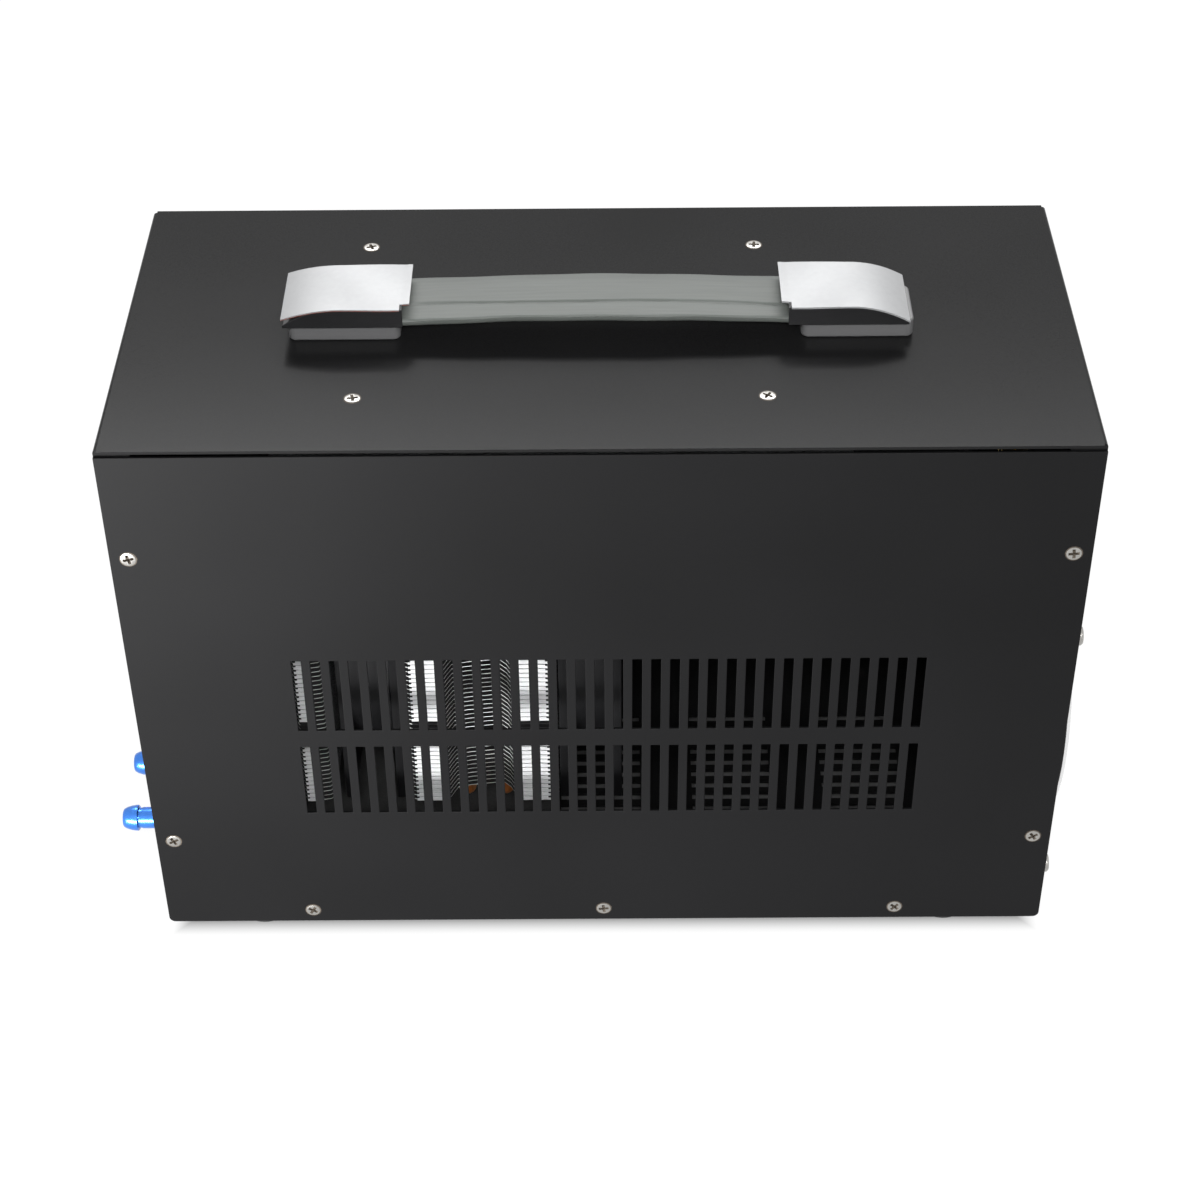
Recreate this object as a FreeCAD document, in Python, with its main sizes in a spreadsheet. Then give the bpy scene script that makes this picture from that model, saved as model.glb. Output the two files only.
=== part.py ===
import FreeCAD, Part
import math
import os
import re

import Sketcher
from FreeCAD import Placement, Rotation, Vector

# Thermoelectric aquarium chiller in a folded sheet-steel case.
# X runs along the long panels, Y from the slotted panel to the front, Z up.
# The origin is on the floor, midway between the four feet. Millimetres throughout.

SIZES = [
    # Case
    ("case_width", 360, "outside, across the two side walls"),
    ("case_depth", 164.6, "outside, slotted panel to front panel"),
    ("case_height", 241, "floor pan to roof, without the feet"),
    ("sheet_thick", 1.2, "steel sheet of cover, pan and panels"),
    ("bend_radius", 1.5, "outer radius of the cover's two top bends"),
    ("flange_width", 12, "inward flanges that the panels screw to"),
    ("seam_gap", 1.5, "shadow gap between roof edge and panel"),
    ("panel_corner", 2.5, "radius at a panel's bottom corners"),
    # Slots and vents, punched with one tool
    ("slot_width", 3.7, "width of a slot"),
    ("slot_height", 35.7, "height of a slot"),
    ("slot_pitch", 7.19, "slot to slot"),
    ("slot_count", 34, "slots in a row"),
    ("slot_start", -115.95, "centre line of the first slot"),
    ("slot_rise", 62.4, "case bottom to the lower row"),
    ("slot_row_gap", 8.6, "web between the two rows"),
    ("vent_length", 34.5, "length of a slot in the floor"),
    ("vent_count", 12, "slots in a floor group"),
    ("vent_group_pitch", 57, "group to group"),
    ("vent_middle", 56, "middle of the centre group"),
    # Screws
    ("screw_dia", 3, "thread of the case screws"),
    ("screw_length", 6.2, "overall"),
    ("screw_head_dia", 6.1, "countersunk head"),
    ("screw_clearance", 0.1, "play round a screw, on the radius"),
    ("clip_window", 4, "square hole for a screw in a flange"),
    ("side_screw_inset", 7, "side screws from the case side"),
    ("side_screw_low", 47, "lower side screws above the case bottom"),
    ("side_screw_high", 192.4, "upper side screws above the case bottom"),
    ("edge_screw_pitch", 120, "bottom screws, one to the next"),
    ("edge_screw_rise", 6.5, "bottom screws above the case bottom"),
    # Feet
    ("foot_height", 8, "floor to the pan"),
    ("foot_dia", 25, "top of a foot"),
    ("foot_taper", 1.5, "foot's radius lost towards the floor"),
    ("foot_inset_long", 38, "foot's middle from the case side"),
    ("foot_inset_deep", 17.3, "foot's middle from a long panel"),
    # Handle
    ("block_length", 42, "grey base block"),
    ("block_width", 25, "grey base block"),
    ("block_height", 7.4, "grey base block"),
    ("block_corner", 3, "grey base block's upright edges"),
    ("block_left", -95.65, "left block's middle"),
    ("block_right", 96.5, "right block's middle"),
    ("cap_left", -95.75, "left cap's middle"),
    ("cap_right", 92.8, "right cap's middle"),
    ("cap_length", 45, "plated end cap"),
    ("cap_width", 30.6, "plated end cap"),
    ("cap_height", 7.8, "plated end cap at the strap"),
    ("cap_curve", 21, "length of the sloping end"),
    ("cap_drop", 6.6, "fall of the sloping end"),
    ("cap_wall", 0.7, "wall of the cap"),
    ("boss_dia", 9, "boss inside the cap"),
    ("film_thick", 0.35, "film on the cap"),
    ("film_overhang", 0.4, "film past the cap's edge"),
    ("strap_width", 29, "moulded strap"),
    ("strap_thick", 3, "moulded strap"),
    ("strap_reach", 110, "strap's end from the middle"),
    ("strap_bend", 70, "where the strap begins to rise"),
    ("strap_rise", 1.6, "how far its middle stands up"),
    ("handle_screw_dia", 4, "screw up through roof, block and strap"),
    ("handle_head_dia", 7.4, "its pan head"),
    ("handle_head_height", 2.6, "its pan head"),
    # Exhaust fan and its guard
    ("exhaust_size", 140, "square frame"),
    ("exhaust_bore", 134, "air duct"),
    ("exhaust_rise", 73.7, "axis above the case bottom"),
    ("exhaust_hub", 44, "hub of the rotor"),
    ("exhaust_span", 124.5, "mounting holes"),
    ("exhaust_hole", 4.4, "mounting holes"),
    ("fan_depth", 25, "thickness of every fan"),
    ("fan_flange", 4, "flange of a frame"),
    ("fan_wall", 2, "wall of the duct"),
    ("fan_strut", 6, "width of a strut"),
    ("fan_hub_plate", 3.5, "plate that carries the motor"),
    ("bearing_dia", 8, "bearing tube"),
    ("shaft_dia", 3, "rotor's shaft"),
    ("shaft_play", 0.05, "shaft in its bearing, on the radius"),
    ("hub_wall", 2, "wall of the rotor's cup"),
    ("hub_gap", 0.8, "rotor to the hub plate"),
    ("blade_gap", 1.2, "blade tip to the duct"),
    ("blade_thick", 1.8, "blade"),
    ("blade_chord", 28, "blade, edge to edge"),
    ("blade_pitch", 52, "degrees between a blade and the axis"),
    ("rotor_nose", 1.5, "rotor behind the frame's open face"),
    ("shaft_end", 1, "shaft inside the frame's closed face"),
    ("bearing_back", 3, "bearing behind the rotor's end wall"),
    ("guard_wire", 2.2, "wire of the guard"),
    ("guard_stand", 4, "rings off the wall"),
    ("guard_radius", 65, "outermost ring, outside"),
    ("guard_pitch", 20, "ring to ring"),
    ("guard_eye", 9, "eye round a screw"),
    ("guard_head_dia", 8, "pan head of a guard screw"),
    ("guard_head_height", 3.3, "pan head of a guard screw"),
    ("guard_screw_dia", 4, "thread of a guard screw"),
    # Tower coolers and their fans
    ("tower_near", -48.5, "middle of the tower beside the exhaust side"),
    ("tower_pitch", 91.5, "tower to tower"),
    ("fin_length", 61.5, "fin, along the air"),
    ("fin_width", 124, "fin, across the air"),
    ("fin_thick", 0.5, "fin"),
    ("fin_count", 8, "fins in a stack"),
    ("fin_pitch", 16.2, "one fin to the next"),
    ("fin_start", 49, "lowest fin above the case bottom"),
    ("tab_width", 12.8, "band of folded tabs"),
    ("tab_thick", 0.6, "band of folded tabs"),
    ("recess_mouth", 28.8, "hollow between the bands"),
    ("recess_floor", 17, "hollow between the bands"),
    ("recess_depth", 10, "hollow between the bands"),
    ("pipe_dia", 6, "heat pipe"),
    ("pipe_leg_deep", 41, "legs off the tower's middle, along Y"),
    ("pipe_leg_apart", 28, "pair of legs, one to the other"),
    ("pipe_base_apart", 16, "pair of pipes inside the base"),
    ("pipe_bend", 13, "leg to where a pipe runs level"),
    ("pipe_over", 5, "sealed ends above the top fin"),
    ("base_size", 44, "copper base of a tower"),
    ("base_height", 10, "copper base of a tower"),
    ("tower_fan_size", 120, "square frame"),
    ("tower_fan_bore", 115, "air duct"),
    ("tower_fan_hub", 40, "hub of the rotor"),
    ("tower_fan_rise", 109, "axis above the case bottom"),
    ("tower_fan_gap", 0.5, "fan to fins"),
    # Cold side
    ("pad_height", 5.8, "foam under the water block"),
    ("block_x_start", -176, "port face of the water block"),
    ("cold_length", 156, "water block"),
    ("cold_width", 84, "water block"),
    ("cold_height", 18, "water block"),
    ("foam_edge", 1.85, "modules to the water block's front edge"),
    ("port_span", 34.1, "port to port"),
    ("module_size", 40, "thermoelectric module"),
    ("module_height", 3.8, "thermoelectric module"),
    ("barb_bore", 5.2, "water way"),
    ("barb_thread", 9.8, "threaded root"),
    ("barb_thread_length", 10, "threaded root"),
    ("barb_collar", 14, "collar against the block"),
    ("barb_tube", 8.8, "tube of the spigot"),
    ("barb_crest", 11, "crest that holds the hose"),
    ("barb_tip", 7.2, "nose of the spigot"),
    ("barb_crest_back", 6.4, "crest behind the nose"),
    ("barb_reach", 23.5, "nose past the side wall"),
    ("barb_hole_play", 0.5, "wall hole round the crest, on the radius"),
    # Power supply
    ("supply_length", 215, "power supply"),
    ("supply_width", 115, "power supply"),
    ("supply_height", 50, "power supply"),
    ("supply_middle", -14.5, "its middle along X"),
    ("supply_across", 1.65, "its middle along Y"),
    ("supply_span_long", 151, "roof screws along X"),
    ("supply_span_deep", 103.7, "roof screws along Y"),
    ("spacer_side", 10, "square spacer at each roof screw"),
    ("spacer_height", 5, "square spacer at each roof screw"),
    # Thermostat
    ("bezel_width", 77, "face of the thermostat"),
    ("bezel_height", 35, "face of the thermostat"),
    ("bezel_thick", 2.4, "face of the thermostat"),
    ("stat_width", 70.4, "body through the panel"),
    ("stat_height", 28.4, "body through the panel"),
    ("stat_depth", 15, "body behind the panel"),
    ("stat_wall", 1.5, "wall of the body"),
    ("stat_middle", 66, "middle along X"),
    ("stat_rise", 164, "middle above the case bottom"),
    ("cutout_play", 0.3, "panel hole round the body"),
    ("window_width", 36, "display window"),
    ("window_height", 17, "display window"),
    ("window_thick", 1.5, "display window"),
    ("window_shift", 12.5, "window off the middle"),
    ("window_play", 0.1, "window in its opening"),
    ("button_dia", 6.4, "button"),
    ("button_flange", 8, "button's inner rim"),
    ("button_stand", 1.2, "button proud of the face"),
    ("button_travel", 0.8, "button's stroke"),
    ("button_play", 0.3, "button in its hole, on the radius"),
    ("button_pitch", 9.5, "button to button"),
    ("button_start", 10.5, "first button off the middle"),
    ("board_thick", 1.6, "circuit board"),
    ("board_setback", 9, "board behind the panel's face"),
    ("switch_size", 6, "tact switch on the board"),
    ("switch_height", 3.2, "tact switch on the board"),
    # Rocker switch and mains inlet
    ("rocker_y", 24, "rocker's middle along Y"),
    ("inlet_y", -20, "inlet's middle along Y"),
    ("mains_rise", 192, "both above the case bottom"),
    ("rocker_flange_tall", 21, "rim of the rocker's housing"),
    ("rocker_flange_wide", 15, "rim of the rocker's housing"),
    ("rocker_flange_thick", 1.8, "rim of the rocker's housing"),
    ("rocker_body_tall", 19, "housing through the wall"),
    ("rocker_body_wide", 13, "housing through the wall"),
    ("rocker_body_deep", 13, "housing through the wall"),
    ("rocker_well_tall", 16.6, "well in the housing"),
    ("rocker_well_wide", 10.6, "well in the housing"),
    ("rocker_well_deep", 9.5, "well in the housing"),
    ("rocker_tall", 14.8, "rocker"),
    ("rocker_wide", 10, "rocker"),
    ("rocker_waist", 4.6, "pivot to the middle of the face"),
    ("rocker_ear", 6.4, "pivot to the ends of the face"),
    ("rocker_back", 2, "pivot to the rocker's back"),
    ("rocker_pivot_in", 2.5, "pivot inside the wall's face"),
    ("rocker_tilt", 8, "degrees either side of level"),
    ("pivot_dia", 2, "rocker's pivot pin"),
    ("pivot_length", 12, "rocker's pivot pin"),
    ("inlet_flange_wide", 31, "rim of the inlet"),
    ("inlet_flange_tall", 24.5, "rim of the inlet"),
    ("inlet_flange_thick", 2.5, "rim of the inlet"),
    ("inlet_body_wide", 27.6, "inlet through the wall"),
    ("inlet_body_tall", 20.4, "inlet through the wall"),
    ("inlet_body_deep", 18, "inlet through the wall"),
    ("inlet_well_wide", 24.4, "socket"),
    ("inlet_well_tall", 16.6, "socket"),
    ("inlet_well_deep", 16.5, "socket"),
    ("inlet_chamfer", 4.5, "cut corners of the socket"),
    ("contact_wide", 2, "contact blade"),
    ("contact_tall", 4, "contact blade"),
    ("contact_apart", 14, "line to neutral"),
    ("contact_offset", 4, "earth above the other two"),
    ("contact_tail", 8, "blade behind the inlet"),
    ("contact_sunk", 1.5, "blade's tip below the rim"),
]

PLACES = {
    "half_width": "case_width / 2",
    "half_depth": "case_depth / 2",
    "case_top": "foot_height + case_height",
    "roof_under": "case_top - sheet_thick",
    "floor_top": "foot_height + sheet_thick",
    "wall_inside": "half_width - sheet_thick",
    "panel_inside": "half_depth - sheet_thick",
    "panel_top": "roof_under - seam_gap",
    "side_screw_x": "half_width - side_screw_inset",
    "block_top": "case_top + block_height",
    "cap_arc": "(cap_curve ^ 2 + cap_drop ^ 2) / (2 * cap_drop)",
    "cap_crown": "cap_curve - cap_length / 2",
    "film_arc": "cap_arc + film_thick",
    "film_tip_x": "cap_crown - film_arc * cap_curve / cap_arc",
    "film_tip_z": "cap_height - cap_arc + film_arc * (cap_arc - cap_drop) / cap_arc",
    "well_arc": "cap_arc - cap_wall",
    "well_tip_x": "cap_crown - well_arc * cap_curve / cap_arc",
    "well_tip_z": "cap_height - cap_arc + well_arc * (cap_arc - cap_drop) / cap_arc",
    "strap_arc": "(strap_bend ^ 2 + strap_rise ^ 2) / (2 * strap_rise)",
    "exhaust_z": "foot_height + exhaust_rise",
    "exhaust_x": "wall_inside - fan_depth",
    "blade_half": "(blade_chord * sin(blade_pitch) + blade_thick * cos(blade_pitch)) / 2",
    "tower_far": "tower_near - tower_pitch",
    "fin_z": "foot_height + fin_start",
    "stack_height": "(fin_count - 1) * fin_pitch + fin_thick",
    "tower_fan_z": "foot_height + tower_fan_rise",
    "tower_fan_left_x": "tower_near - fin_length / 2 - tower_fan_gap - fan_depth",
    "tower_fan_right_x": "tower_near + fin_length / 2 + tower_fan_gap",
    "cold_middle": "module_size / 2 + foam_edge - cold_width / 2",
    "cold_z": "floor_top + pad_height",
    "cold_top": "cold_z + cold_height",
    "port_z": "cold_z + cold_height / 2",
    "base_z": "cold_top + module_height",
    "pipe_z": "base_z + base_height / 2",
    "collar_length": "half_width + block_x_start - sheet_thick",
    "barb_nose": "half_width + block_x_start + barb_reach",
    "barb_crest_x": "barb_nose - barb_crest_back",
    "supply_top": "roof_under - spacer_height",
    "supply_z": "supply_top - supply_height",
    "stat_z": "foot_height + stat_rise",
    "bezel_face": "half_depth + bezel_thick",
    "board_y": "half_depth - board_setback",
    "button_end": "board_y + switch_height + button_travel + button_play",
    "button_rim": "half_depth - button_play",
    "mains_z": "foot_height + mains_rise",
    "rocker_face": "half_width + rocker_flange_thick",
    "pivot_x": "half_width - rocker_pivot_in",
    "inlet_face": "half_width + inlet_flange_thick",
    "inlet_back": "half_width - inlet_body_deep",
}

SIZE_NAMES = {name for name, value, note in SIZES}
AXES = {
    "x": Rotation(Vector(0, 1, 0), 90),
    "-x": Rotation(Vector(0, 1, 0), -90),
    "y": Rotation(Vector(1, 0, 0), -90),
    "-y": Rotation(Vector(1, 0, 0), 90),
    "z": Rotation(),
    "-z": Rotation(Vector(1, 0, 0), 180),
}
HALF_TURN = Rotation(Vector(0, 0, 1), 180)

# Flats of what is drawn many-sided, to keep it light
DUCT_SIDES = 36
RING_SIDES = 24
FOOT_SIDES = 20
KNOB_SIDES = 16
HEAD_SIDES = 8
PIPE_SIDES = 8
SHANK_SIDES = 6

doc = FreeCAD.newDocument("AquariumChiller")
sheet = doc.addObject("Spreadsheet::Sheet", "Sizes")
nodes = []


# Sheet and formulas

def fill_sheet():
    """Write every driving dimension to the sheet, with its alias and a note."""
    for row, (name, value, note) in enumerate(SIZES, start=1):
        sheet.set(f"A{row}", name)
        sheet.set(f"B{row}", str(value))
        sheet.setAlias(f"B{row}", name)
        sheet.set(f"C{row}", note)
    doc.recompute()


def formula(text):
    """Open up the places in a formula and give each size its sheet's name."""
    def word(match):
        name = match.group(0)
        if name in PLACES:
            return "(" + formula(PLACES[name]) + ")"
        if name in SIZE_NAMES:
            return "Sizes." + name
        return name
    return re.sub(r"[a-z]\w*", word, text)


def number(text):
    """The present value of a formula."""
    return float(sheet.evalExpression(formula(text)))


def bind(thing, **formulas):
    for name, text in formulas.items():
        thing.setExpression(name, formula(text))


def put(thing, x, y, z, turn=None):
    """Turn a piece, and tie its place to three formulas."""
    if turn is not None:
        thing.Placement = Placement(Vector(), turn)
    for axis, text in zip("xyz", (x, y, z)):
        thing.setExpression("Placement.Base." + axis, formula(text))


# Primitives and booleans

def box(name, corner, lengths):
    solid = doc.addObject("Part::Box", name)
    bind(solid, Length=lengths[0], Width=lengths[1], Height=lengths[2])
    put(solid, *corner)
    return solid


def rod(name, radius, length, start, along):
    solid = doc.addObject("Part::Cylinder", name)
    bind(solid, Radius=radius, Height=length)
    put(solid, *start, AXES[along])
    return solid


def prism(name, sides, radius, length, start, along):
    """A many-sided rod, measured over its corners."""
    solid = doc.addObject("Part::Prism", name)
    solid.Polygon = sides
    bind(solid, Circumradius=radius, Height=length)
    put(solid, *start, AXES[along])
    return solid


def joined(name, pieces):
    solid = doc.addObject("Part::MultiFuse", name)
    solid.Shapes = pieces
    solid.Refine = True
    return solid


def cut(name, base, tools):
    tool = tools[0]
    if len(tools) > 1:
        tool = doc.addObject("Part::MultiFuse", name + "_holes")
        tool.Shapes = tools
    solid = doc.addObject("Part::Cut", name)
    solid.Base = base
    solid.Tool = tool
    return solid


def group(name, pieces):
    """Like pieces that share a node, each a solid of its own."""
    compound = doc.addObject("Part::Compound", name)
    compound.Links = pieces
    return compound


# Bodies and sketches

def new_body(name):
    return doc.addObject("PartDesign::Body", name)


def new_sketch(body, name, role, offset="0"):
    """A sketch on one of the body's own planes, set off along the plane's normal."""
    sketch = body.newObject("Sketcher::SketchObject", name)
    plane = next(item for item in body.Origin.OriginFeatures if item.Role == role)
    sketch.AttachmentSupport = [(plane, "")]
    sketch.MapMode = "FlatFace"
    sketch.setExpression("AttachmentOffset.Base.z", formula(offset))
    return sketch


def tie(sketch, kind, text, *where):
    """Add a constraint whose value follows a formula."""
    index = sketch.addConstraint(Sketcher.Constraint(kind, *where, number(text)))
    label = f"{kind}{index}"
    sketch.renameConstraint(index, label)
    sketch.setExpression("Constraints." + label, formula(text))


def outline(sketch, points, bows=None):
    """Draw a closed outline whose corners are pairs of formulas. A side listed in bows is
    an arc instead of a line: its radius, and 1 or -1 for the side that it bulges to."""
    bows = bows or {}
    first = sketch.GeometryCount
    count = len(points)
    spots = [Vector(number(x), number(y), 0) for x, y in points]
    ends = [(1, 2)] * count
    for index, start in enumerate(spots):
        end = spots[(index + 1) % count]
        side = Part.LineSegment(start, end)
        if index in bows:
            radius, way = bows[index]
            chord = end - start
            depth = number(radius) - math.sqrt(number(radius) ** 2 - chord.Length ** 2 / 4)
            middle = (start + end) / 2 + Vector(chord.y, -chord.x, 0).normalize() * depth * way
            ends[index] = (1, 2) if way > 0 else (2, 1)
            side = Part.ArcOfCircle(*((start, middle, end) if way > 0 else (end, middle, start)))
        sketch.addGeometry(side, False)
    for index, (x, y) in enumerate(points):
        follower = (index + 1) % count
        joint = (first + index, ends[index][1], first + follower, ends[follower][0])
        sketch.addConstraint(Sketcher.Constraint("Coincident", *joint))
        tie(sketch, "DistanceX", x, first + index, ends[index][0])
        tie(sketch, "DistanceY", y, first + index, ends[index][0])
    for index, (radius, way) in bows.items():
        tie(sketch, "Radius", radius, first + index)


def rectangle(sketch, left, low, right, high):
    outline(sketch, [(left, low), (right, low), (right, high), (left, high)])


def circle(sketch, x, y, radius):
    index = sketch.addGeometry(Part.Circle(Vector(number(x), number(y), 0), Vector(0, 0, 1), number(radius)))
    tie(sketch, "DistanceX", x, index, 3)
    tie(sketch, "DistanceY", y, index, 3)
    tie(sketch, "Radius", radius, index)


def pad(body, name, sketch, length, both_ways=False, backwards=False):
    feature = body.newObject("PartDesign::Pad", name)
    feature.Profile = sketch
    feature.SideType = "Symmetric" if both_ways else "One side"
    feature.Reversed = backwards
    bind(feature, Length=length)
    return feature


def pocket(body, name, sketch, length, both_ways=False, backwards=False):
    feature = body.newObject("PartDesign::Pocket", name)
    feature.Profile = sketch
    feature.SideType = "Symmetric" if both_ways else "One side"
    feature.Reversed = backwards
    bind(feature, Length=length)
    return feature


def row_of(body, name, feature, sketch, axis, count, pitch):
    """Repeat a feature along one of its sketch's axes."""
    doc.recompute()
    pattern = body.newObject("PartDesign::LinearPattern", name)
    pattern.Originals = [feature]
    pattern.Direction = (sketch, [axis])
    bind(pattern, Occurrences=count, Length=f"({count} - 1) * {pitch}")
    body.Tip = pattern
    return pattern


def turned(body, name, sketch):
    """Revolve a profile about the sketch's own horizontal axis."""
    feature = body.newObject("PartDesign::Revolution", name)
    feature.Profile = sketch
    feature.ReferenceAxis = (sketch, ["H_Axis"])
    feature.Angle = 360
    return feature


def soften(body, name, feature, radius, direction, keep=None):
    """Round the straight edges that run along one direction, or those that keep picks."""
    doc.recompute()
    picked = []
    for index, edge in enumerate(feature.Shape.Edges, start=1):
        along = abs(edge.tangentAt(edge.FirstParameter).dot(direction)) > 0.99
        if along and (keep is None or keep(edge.CenterOfMass)):
            picked.append(f"Edge{index}")
    fillet = body.newObject("PartDesign::Fillet", name)
    fillet.Base = (feature, picked)
    bind(fillet, Radius=radius)
    return fillet


def node(name, thing):
    """Name a finished piece, which is written to its own file."""
    thing.Label = name
    nodes.append(thing)
    return thing


# Screws

def screw(name, start, along):
    """A case screw, its flat head let into the sheet."""
    head = prism(name + "_head", HEAD_SIDES, "screw_head_dia / 2", "sheet_thick", start, along)
    shank = prism(name + "_shank", SHANK_SIDES, "screw_dia / 2", "screw_length", start, along)
    return joined(name, [head, shank])


def screw_seat(name, start, along):
    """The hole in a sheet that a case screw's head fills."""
    return prism(name, HEAD_SIDES, "screw_head_dia / 2 + screw_clearance", "sheet_thick", start, along)


def screw_hole(name, dia, depth, start):
    """An upright hole with play all round a screw."""
    return prism(name, HEAD_SIDES, f"{dia} / 2 + screw_clearance", depth, start, "z")


def headed_screw(name, start, along, head_dia, head_height, dia, length):
    """A pan-headed screw: its head stands up from the start and its shank goes along."""
    back = along[1:] if along.startswith("-") else "-" + along
    head = prism(name + "_head", HEAD_SIDES, f"{head_dia} / 2", head_height, start, back)
    shank = prism(name + "_shank", SHANK_SIDES, f"{dia} / 2", length, start, along)
    return joined(name, [head, shank])


def panel_screw_spots():
    """The seven screws of a long panel, as formulas for X and Z."""
    spots = []
    for side in ("-side_screw_x", "side_screw_x"):
        for rise in ("side_screw_low", "side_screw_high"):
            spots.append((side, "foot_height + " + rise))
    for step in (-1, 0, 1):
        spots.append((f"{step} * edge_screw_pitch", "foot_height + edge_screw_rise"))
    return spots


def supply_screw_spots():
    spots = []
    for side in ("-", "+"):
        for way in ("-", "+"):
            spots.append((f"supply_middle {side} supply_span_long / 2",
                          f"supply_across {way} supply_span_deep / 2"))
    return spots


def at_panel_screws(make, name, face, along):
    """A screw or its hole at each of a panel's seven places."""
    made = []
    for index, (x, z) in enumerate(panel_screw_spots(), start=1):
        made.append(make(f"{name}_{index}", (x, face, z), along))
    return made


# Case

def make_panel(name, face, backwards):
    """A flat panel the full width of the case, with rounded bottom corners."""
    body = new_body(name + "_sheet")
    put(body, "0", face, "0")
    face_sketch = new_sketch(body, name + "_outline", "XZ_Plane")
    rectangle(face_sketch, "-half_width", "foot_height", "half_width", "panel_top")
    plate = pad(body, name + "_plate", face_sketch, "sheet_thick", backwards=backwards)
    low = number("foot_height + panel_corner")
    soften(body, name + "_corners", plate, "panel_corner", Vector(0, 1, 0), lambda spot: spot.z < low)
    return body


def make_slotted_panel():
    body = make_panel("slotted", "-panel_inside", False)
    slots = new_sketch(body, "slot_outline", "XZ_Plane")
    left = "slot_start - slot_width / 2"
    right = "slot_start + slot_width / 2"
    low = "foot_height + slot_rise"
    high = "foot_height + slot_rise + slot_height + slot_row_gap"
    rectangle(slots, left, low, right, low + " + slot_height")
    rectangle(slots, left, high, right, high + " + slot_height")
    punched = pocket(body, "slots", slots, "3 * sheet_thick", both_ways=True)
    row_of(body, "slot_rows", punched, slots, "H_Axis", "slot_count", "slot_pitch")
    holes = at_panel_screws(screw_seat, "slotted_hole", "-half_depth", "y")
    node("slotted_panel", cut("slotted_panel", body, holes))
    screws = at_panel_screws(screw, "slotted_screw", "-half_depth", "y")
    node("slotted_panel_screws", group("slotted_panel_screws", screws))


def make_front_panel():
    body = make_panel("front", "panel_inside", True)
    opening = new_sketch(body, "display_opening", "XZ_Plane")
    rectangle(opening, "stat_middle - stat_width / 2 - cutout_play", "stat_z - stat_height / 2 - cutout_play",
              "stat_middle + stat_width / 2 + cutout_play", "stat_z + stat_height / 2 + cutout_play")
    pocket(body, "display_cutout", opening, "3 * sheet_thick", both_ways=True)
    holes = at_panel_screws(screw_seat, "front_hole", "half_depth", "-y")
    node("front_panel", cut("front_panel", body, holes))
    screws = at_panel_screws(screw, "front_screw", "half_depth", "-y")
    node("front_panel_screws", group("front_panel_screws", screws))


def flange_windows(name, spots, face):
    """Square holes that the panel screws reach through, in the flanges behind a panel."""
    half = "clip_window / 2"
    windows = []
    for index, (x, z) in enumerate(spots, start=1):
        windows.append(box(f"{name}_{index}", (f"{x} - {half}", f"{face} - 2 * sheet_thick", f"{z} - {half}"),
                           ("clip_window", "4 * sheet_thick", "clip_window")))
    return windows


def make_cover():
    """Left wall, roof and right wall, folded from one sheet, with flanges for the panels."""
    body = new_body("cover_fold")
    profile = new_sketch(body, "cover_profile", "XZ_Plane")
    outline(profile, [
        ("-half_width", "foot_height"), ("-wall_inside", "foot_height"), ("-wall_inside", "roof_under"),
        ("wall_inside", "roof_under"), ("wall_inside", "foot_height"), ("half_width", "foot_height"),
        ("half_width", "case_top"), ("-half_width", "case_top")])
    fold = pad(body, "cover_sheet", profile, "2 * panel_inside", both_ways=True)
    high = number("case_top - bend_radius")
    soften(body, "cover_bends", fold, "bend_radius", Vector(0, 1, 0),
           lambda spot: spot.z > high and abs(spot.x) > number("wall_inside"))
    pieces = [body]
    lip = "half_width - bend_radius"
    for name, edge in (("slotted", "-half_depth"), ("front", "panel_inside")):
        pieces.append(box(f"roof_lip_{name}", (f"-({lip})", edge, "roof_under"),
                          (f"2 * ({lip})", "sheet_thick", "sheet_thick")))
    for side, x in (("left", "-wall_inside"), ("right", "wall_inside - flange_width")):
        for end, y in (("slotted", "-panel_inside"), ("front", "panel_inside - sheet_thick")):
            low = "foot_height + flange_width + sheet_thick"
            pieces.append(box(f"flange_{side}_{end}", (x, y, low),
                              ("flange_width", "sheet_thick", f"roof_under - ({low})")))
    folded = joined("cover_with_flanges", pieces)
    holes = []
    side_spots = [spot for spot in panel_screw_spots() if "side_screw_x" in spot[0]]
    holes += flange_windows("cover_window_slotted", side_spots, "-panel_inside")
    holes += flange_windows("cover_window_front", side_spots, "panel_inside")
    for index, (x, y) in enumerate(supply_screw_spots(), start=1):
        holes.append(screw_seat(f"roof_hole_{index}", (x, y, "case_top"), "-z"))
    for side in ("left", "right"):
        holes.append(screw_hole(f"handle_hole_{side}", "handle_screw_dia", "3 * sheet_thick",
                                (f"block_{side}", "0", "roof_under - sheet_thick")))
        way = "-" if side == "left" else "+"
        holes.append(rod(f"port_hole_{side}", "barb_crest / 2 + barb_hole_play", "3 * sheet_thick",
                         ("-half_width - sheet_thick", f"cold_middle {way} port_span / 2", "port_z"), "x"))
    holes.append(prism("exhaust_opening", DUCT_SIDES, "exhaust_bore / 2", "3 * sheet_thick",
                       ("wall_inside - sheet_thick", "0", "exhaust_z"), "x"))
    for index, (y, z) in enumerate(exhaust_screw_spots(), start=1):
        holes.append(prism(f"guard_hole_{index}", HEAD_SIDES, "exhaust_hole / 2", "3 * sheet_thick",
                           ("wall_inside - sheet_thick", y, z), "x"))
    for name, y, wide, tall in (("rocker", "rocker_y", "rocker_body_wide", "rocker_body_tall"),
                                ("inlet", "inlet_y", "inlet_body_wide", "inlet_body_tall")):
        holes.append(box(f"{name}_cutout", ("wall_inside - sheet_thick", f"{y} - {wide} / 2 - cutout_play",
                                            f"mains_z - {tall} / 2 - cutout_play"),
                         ("3 * sheet_thick", f"{wide} + 2 * cutout_play", f"{tall} + 2 * cutout_play")))
    node("cover", cut("cover", folded, holes))


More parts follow.
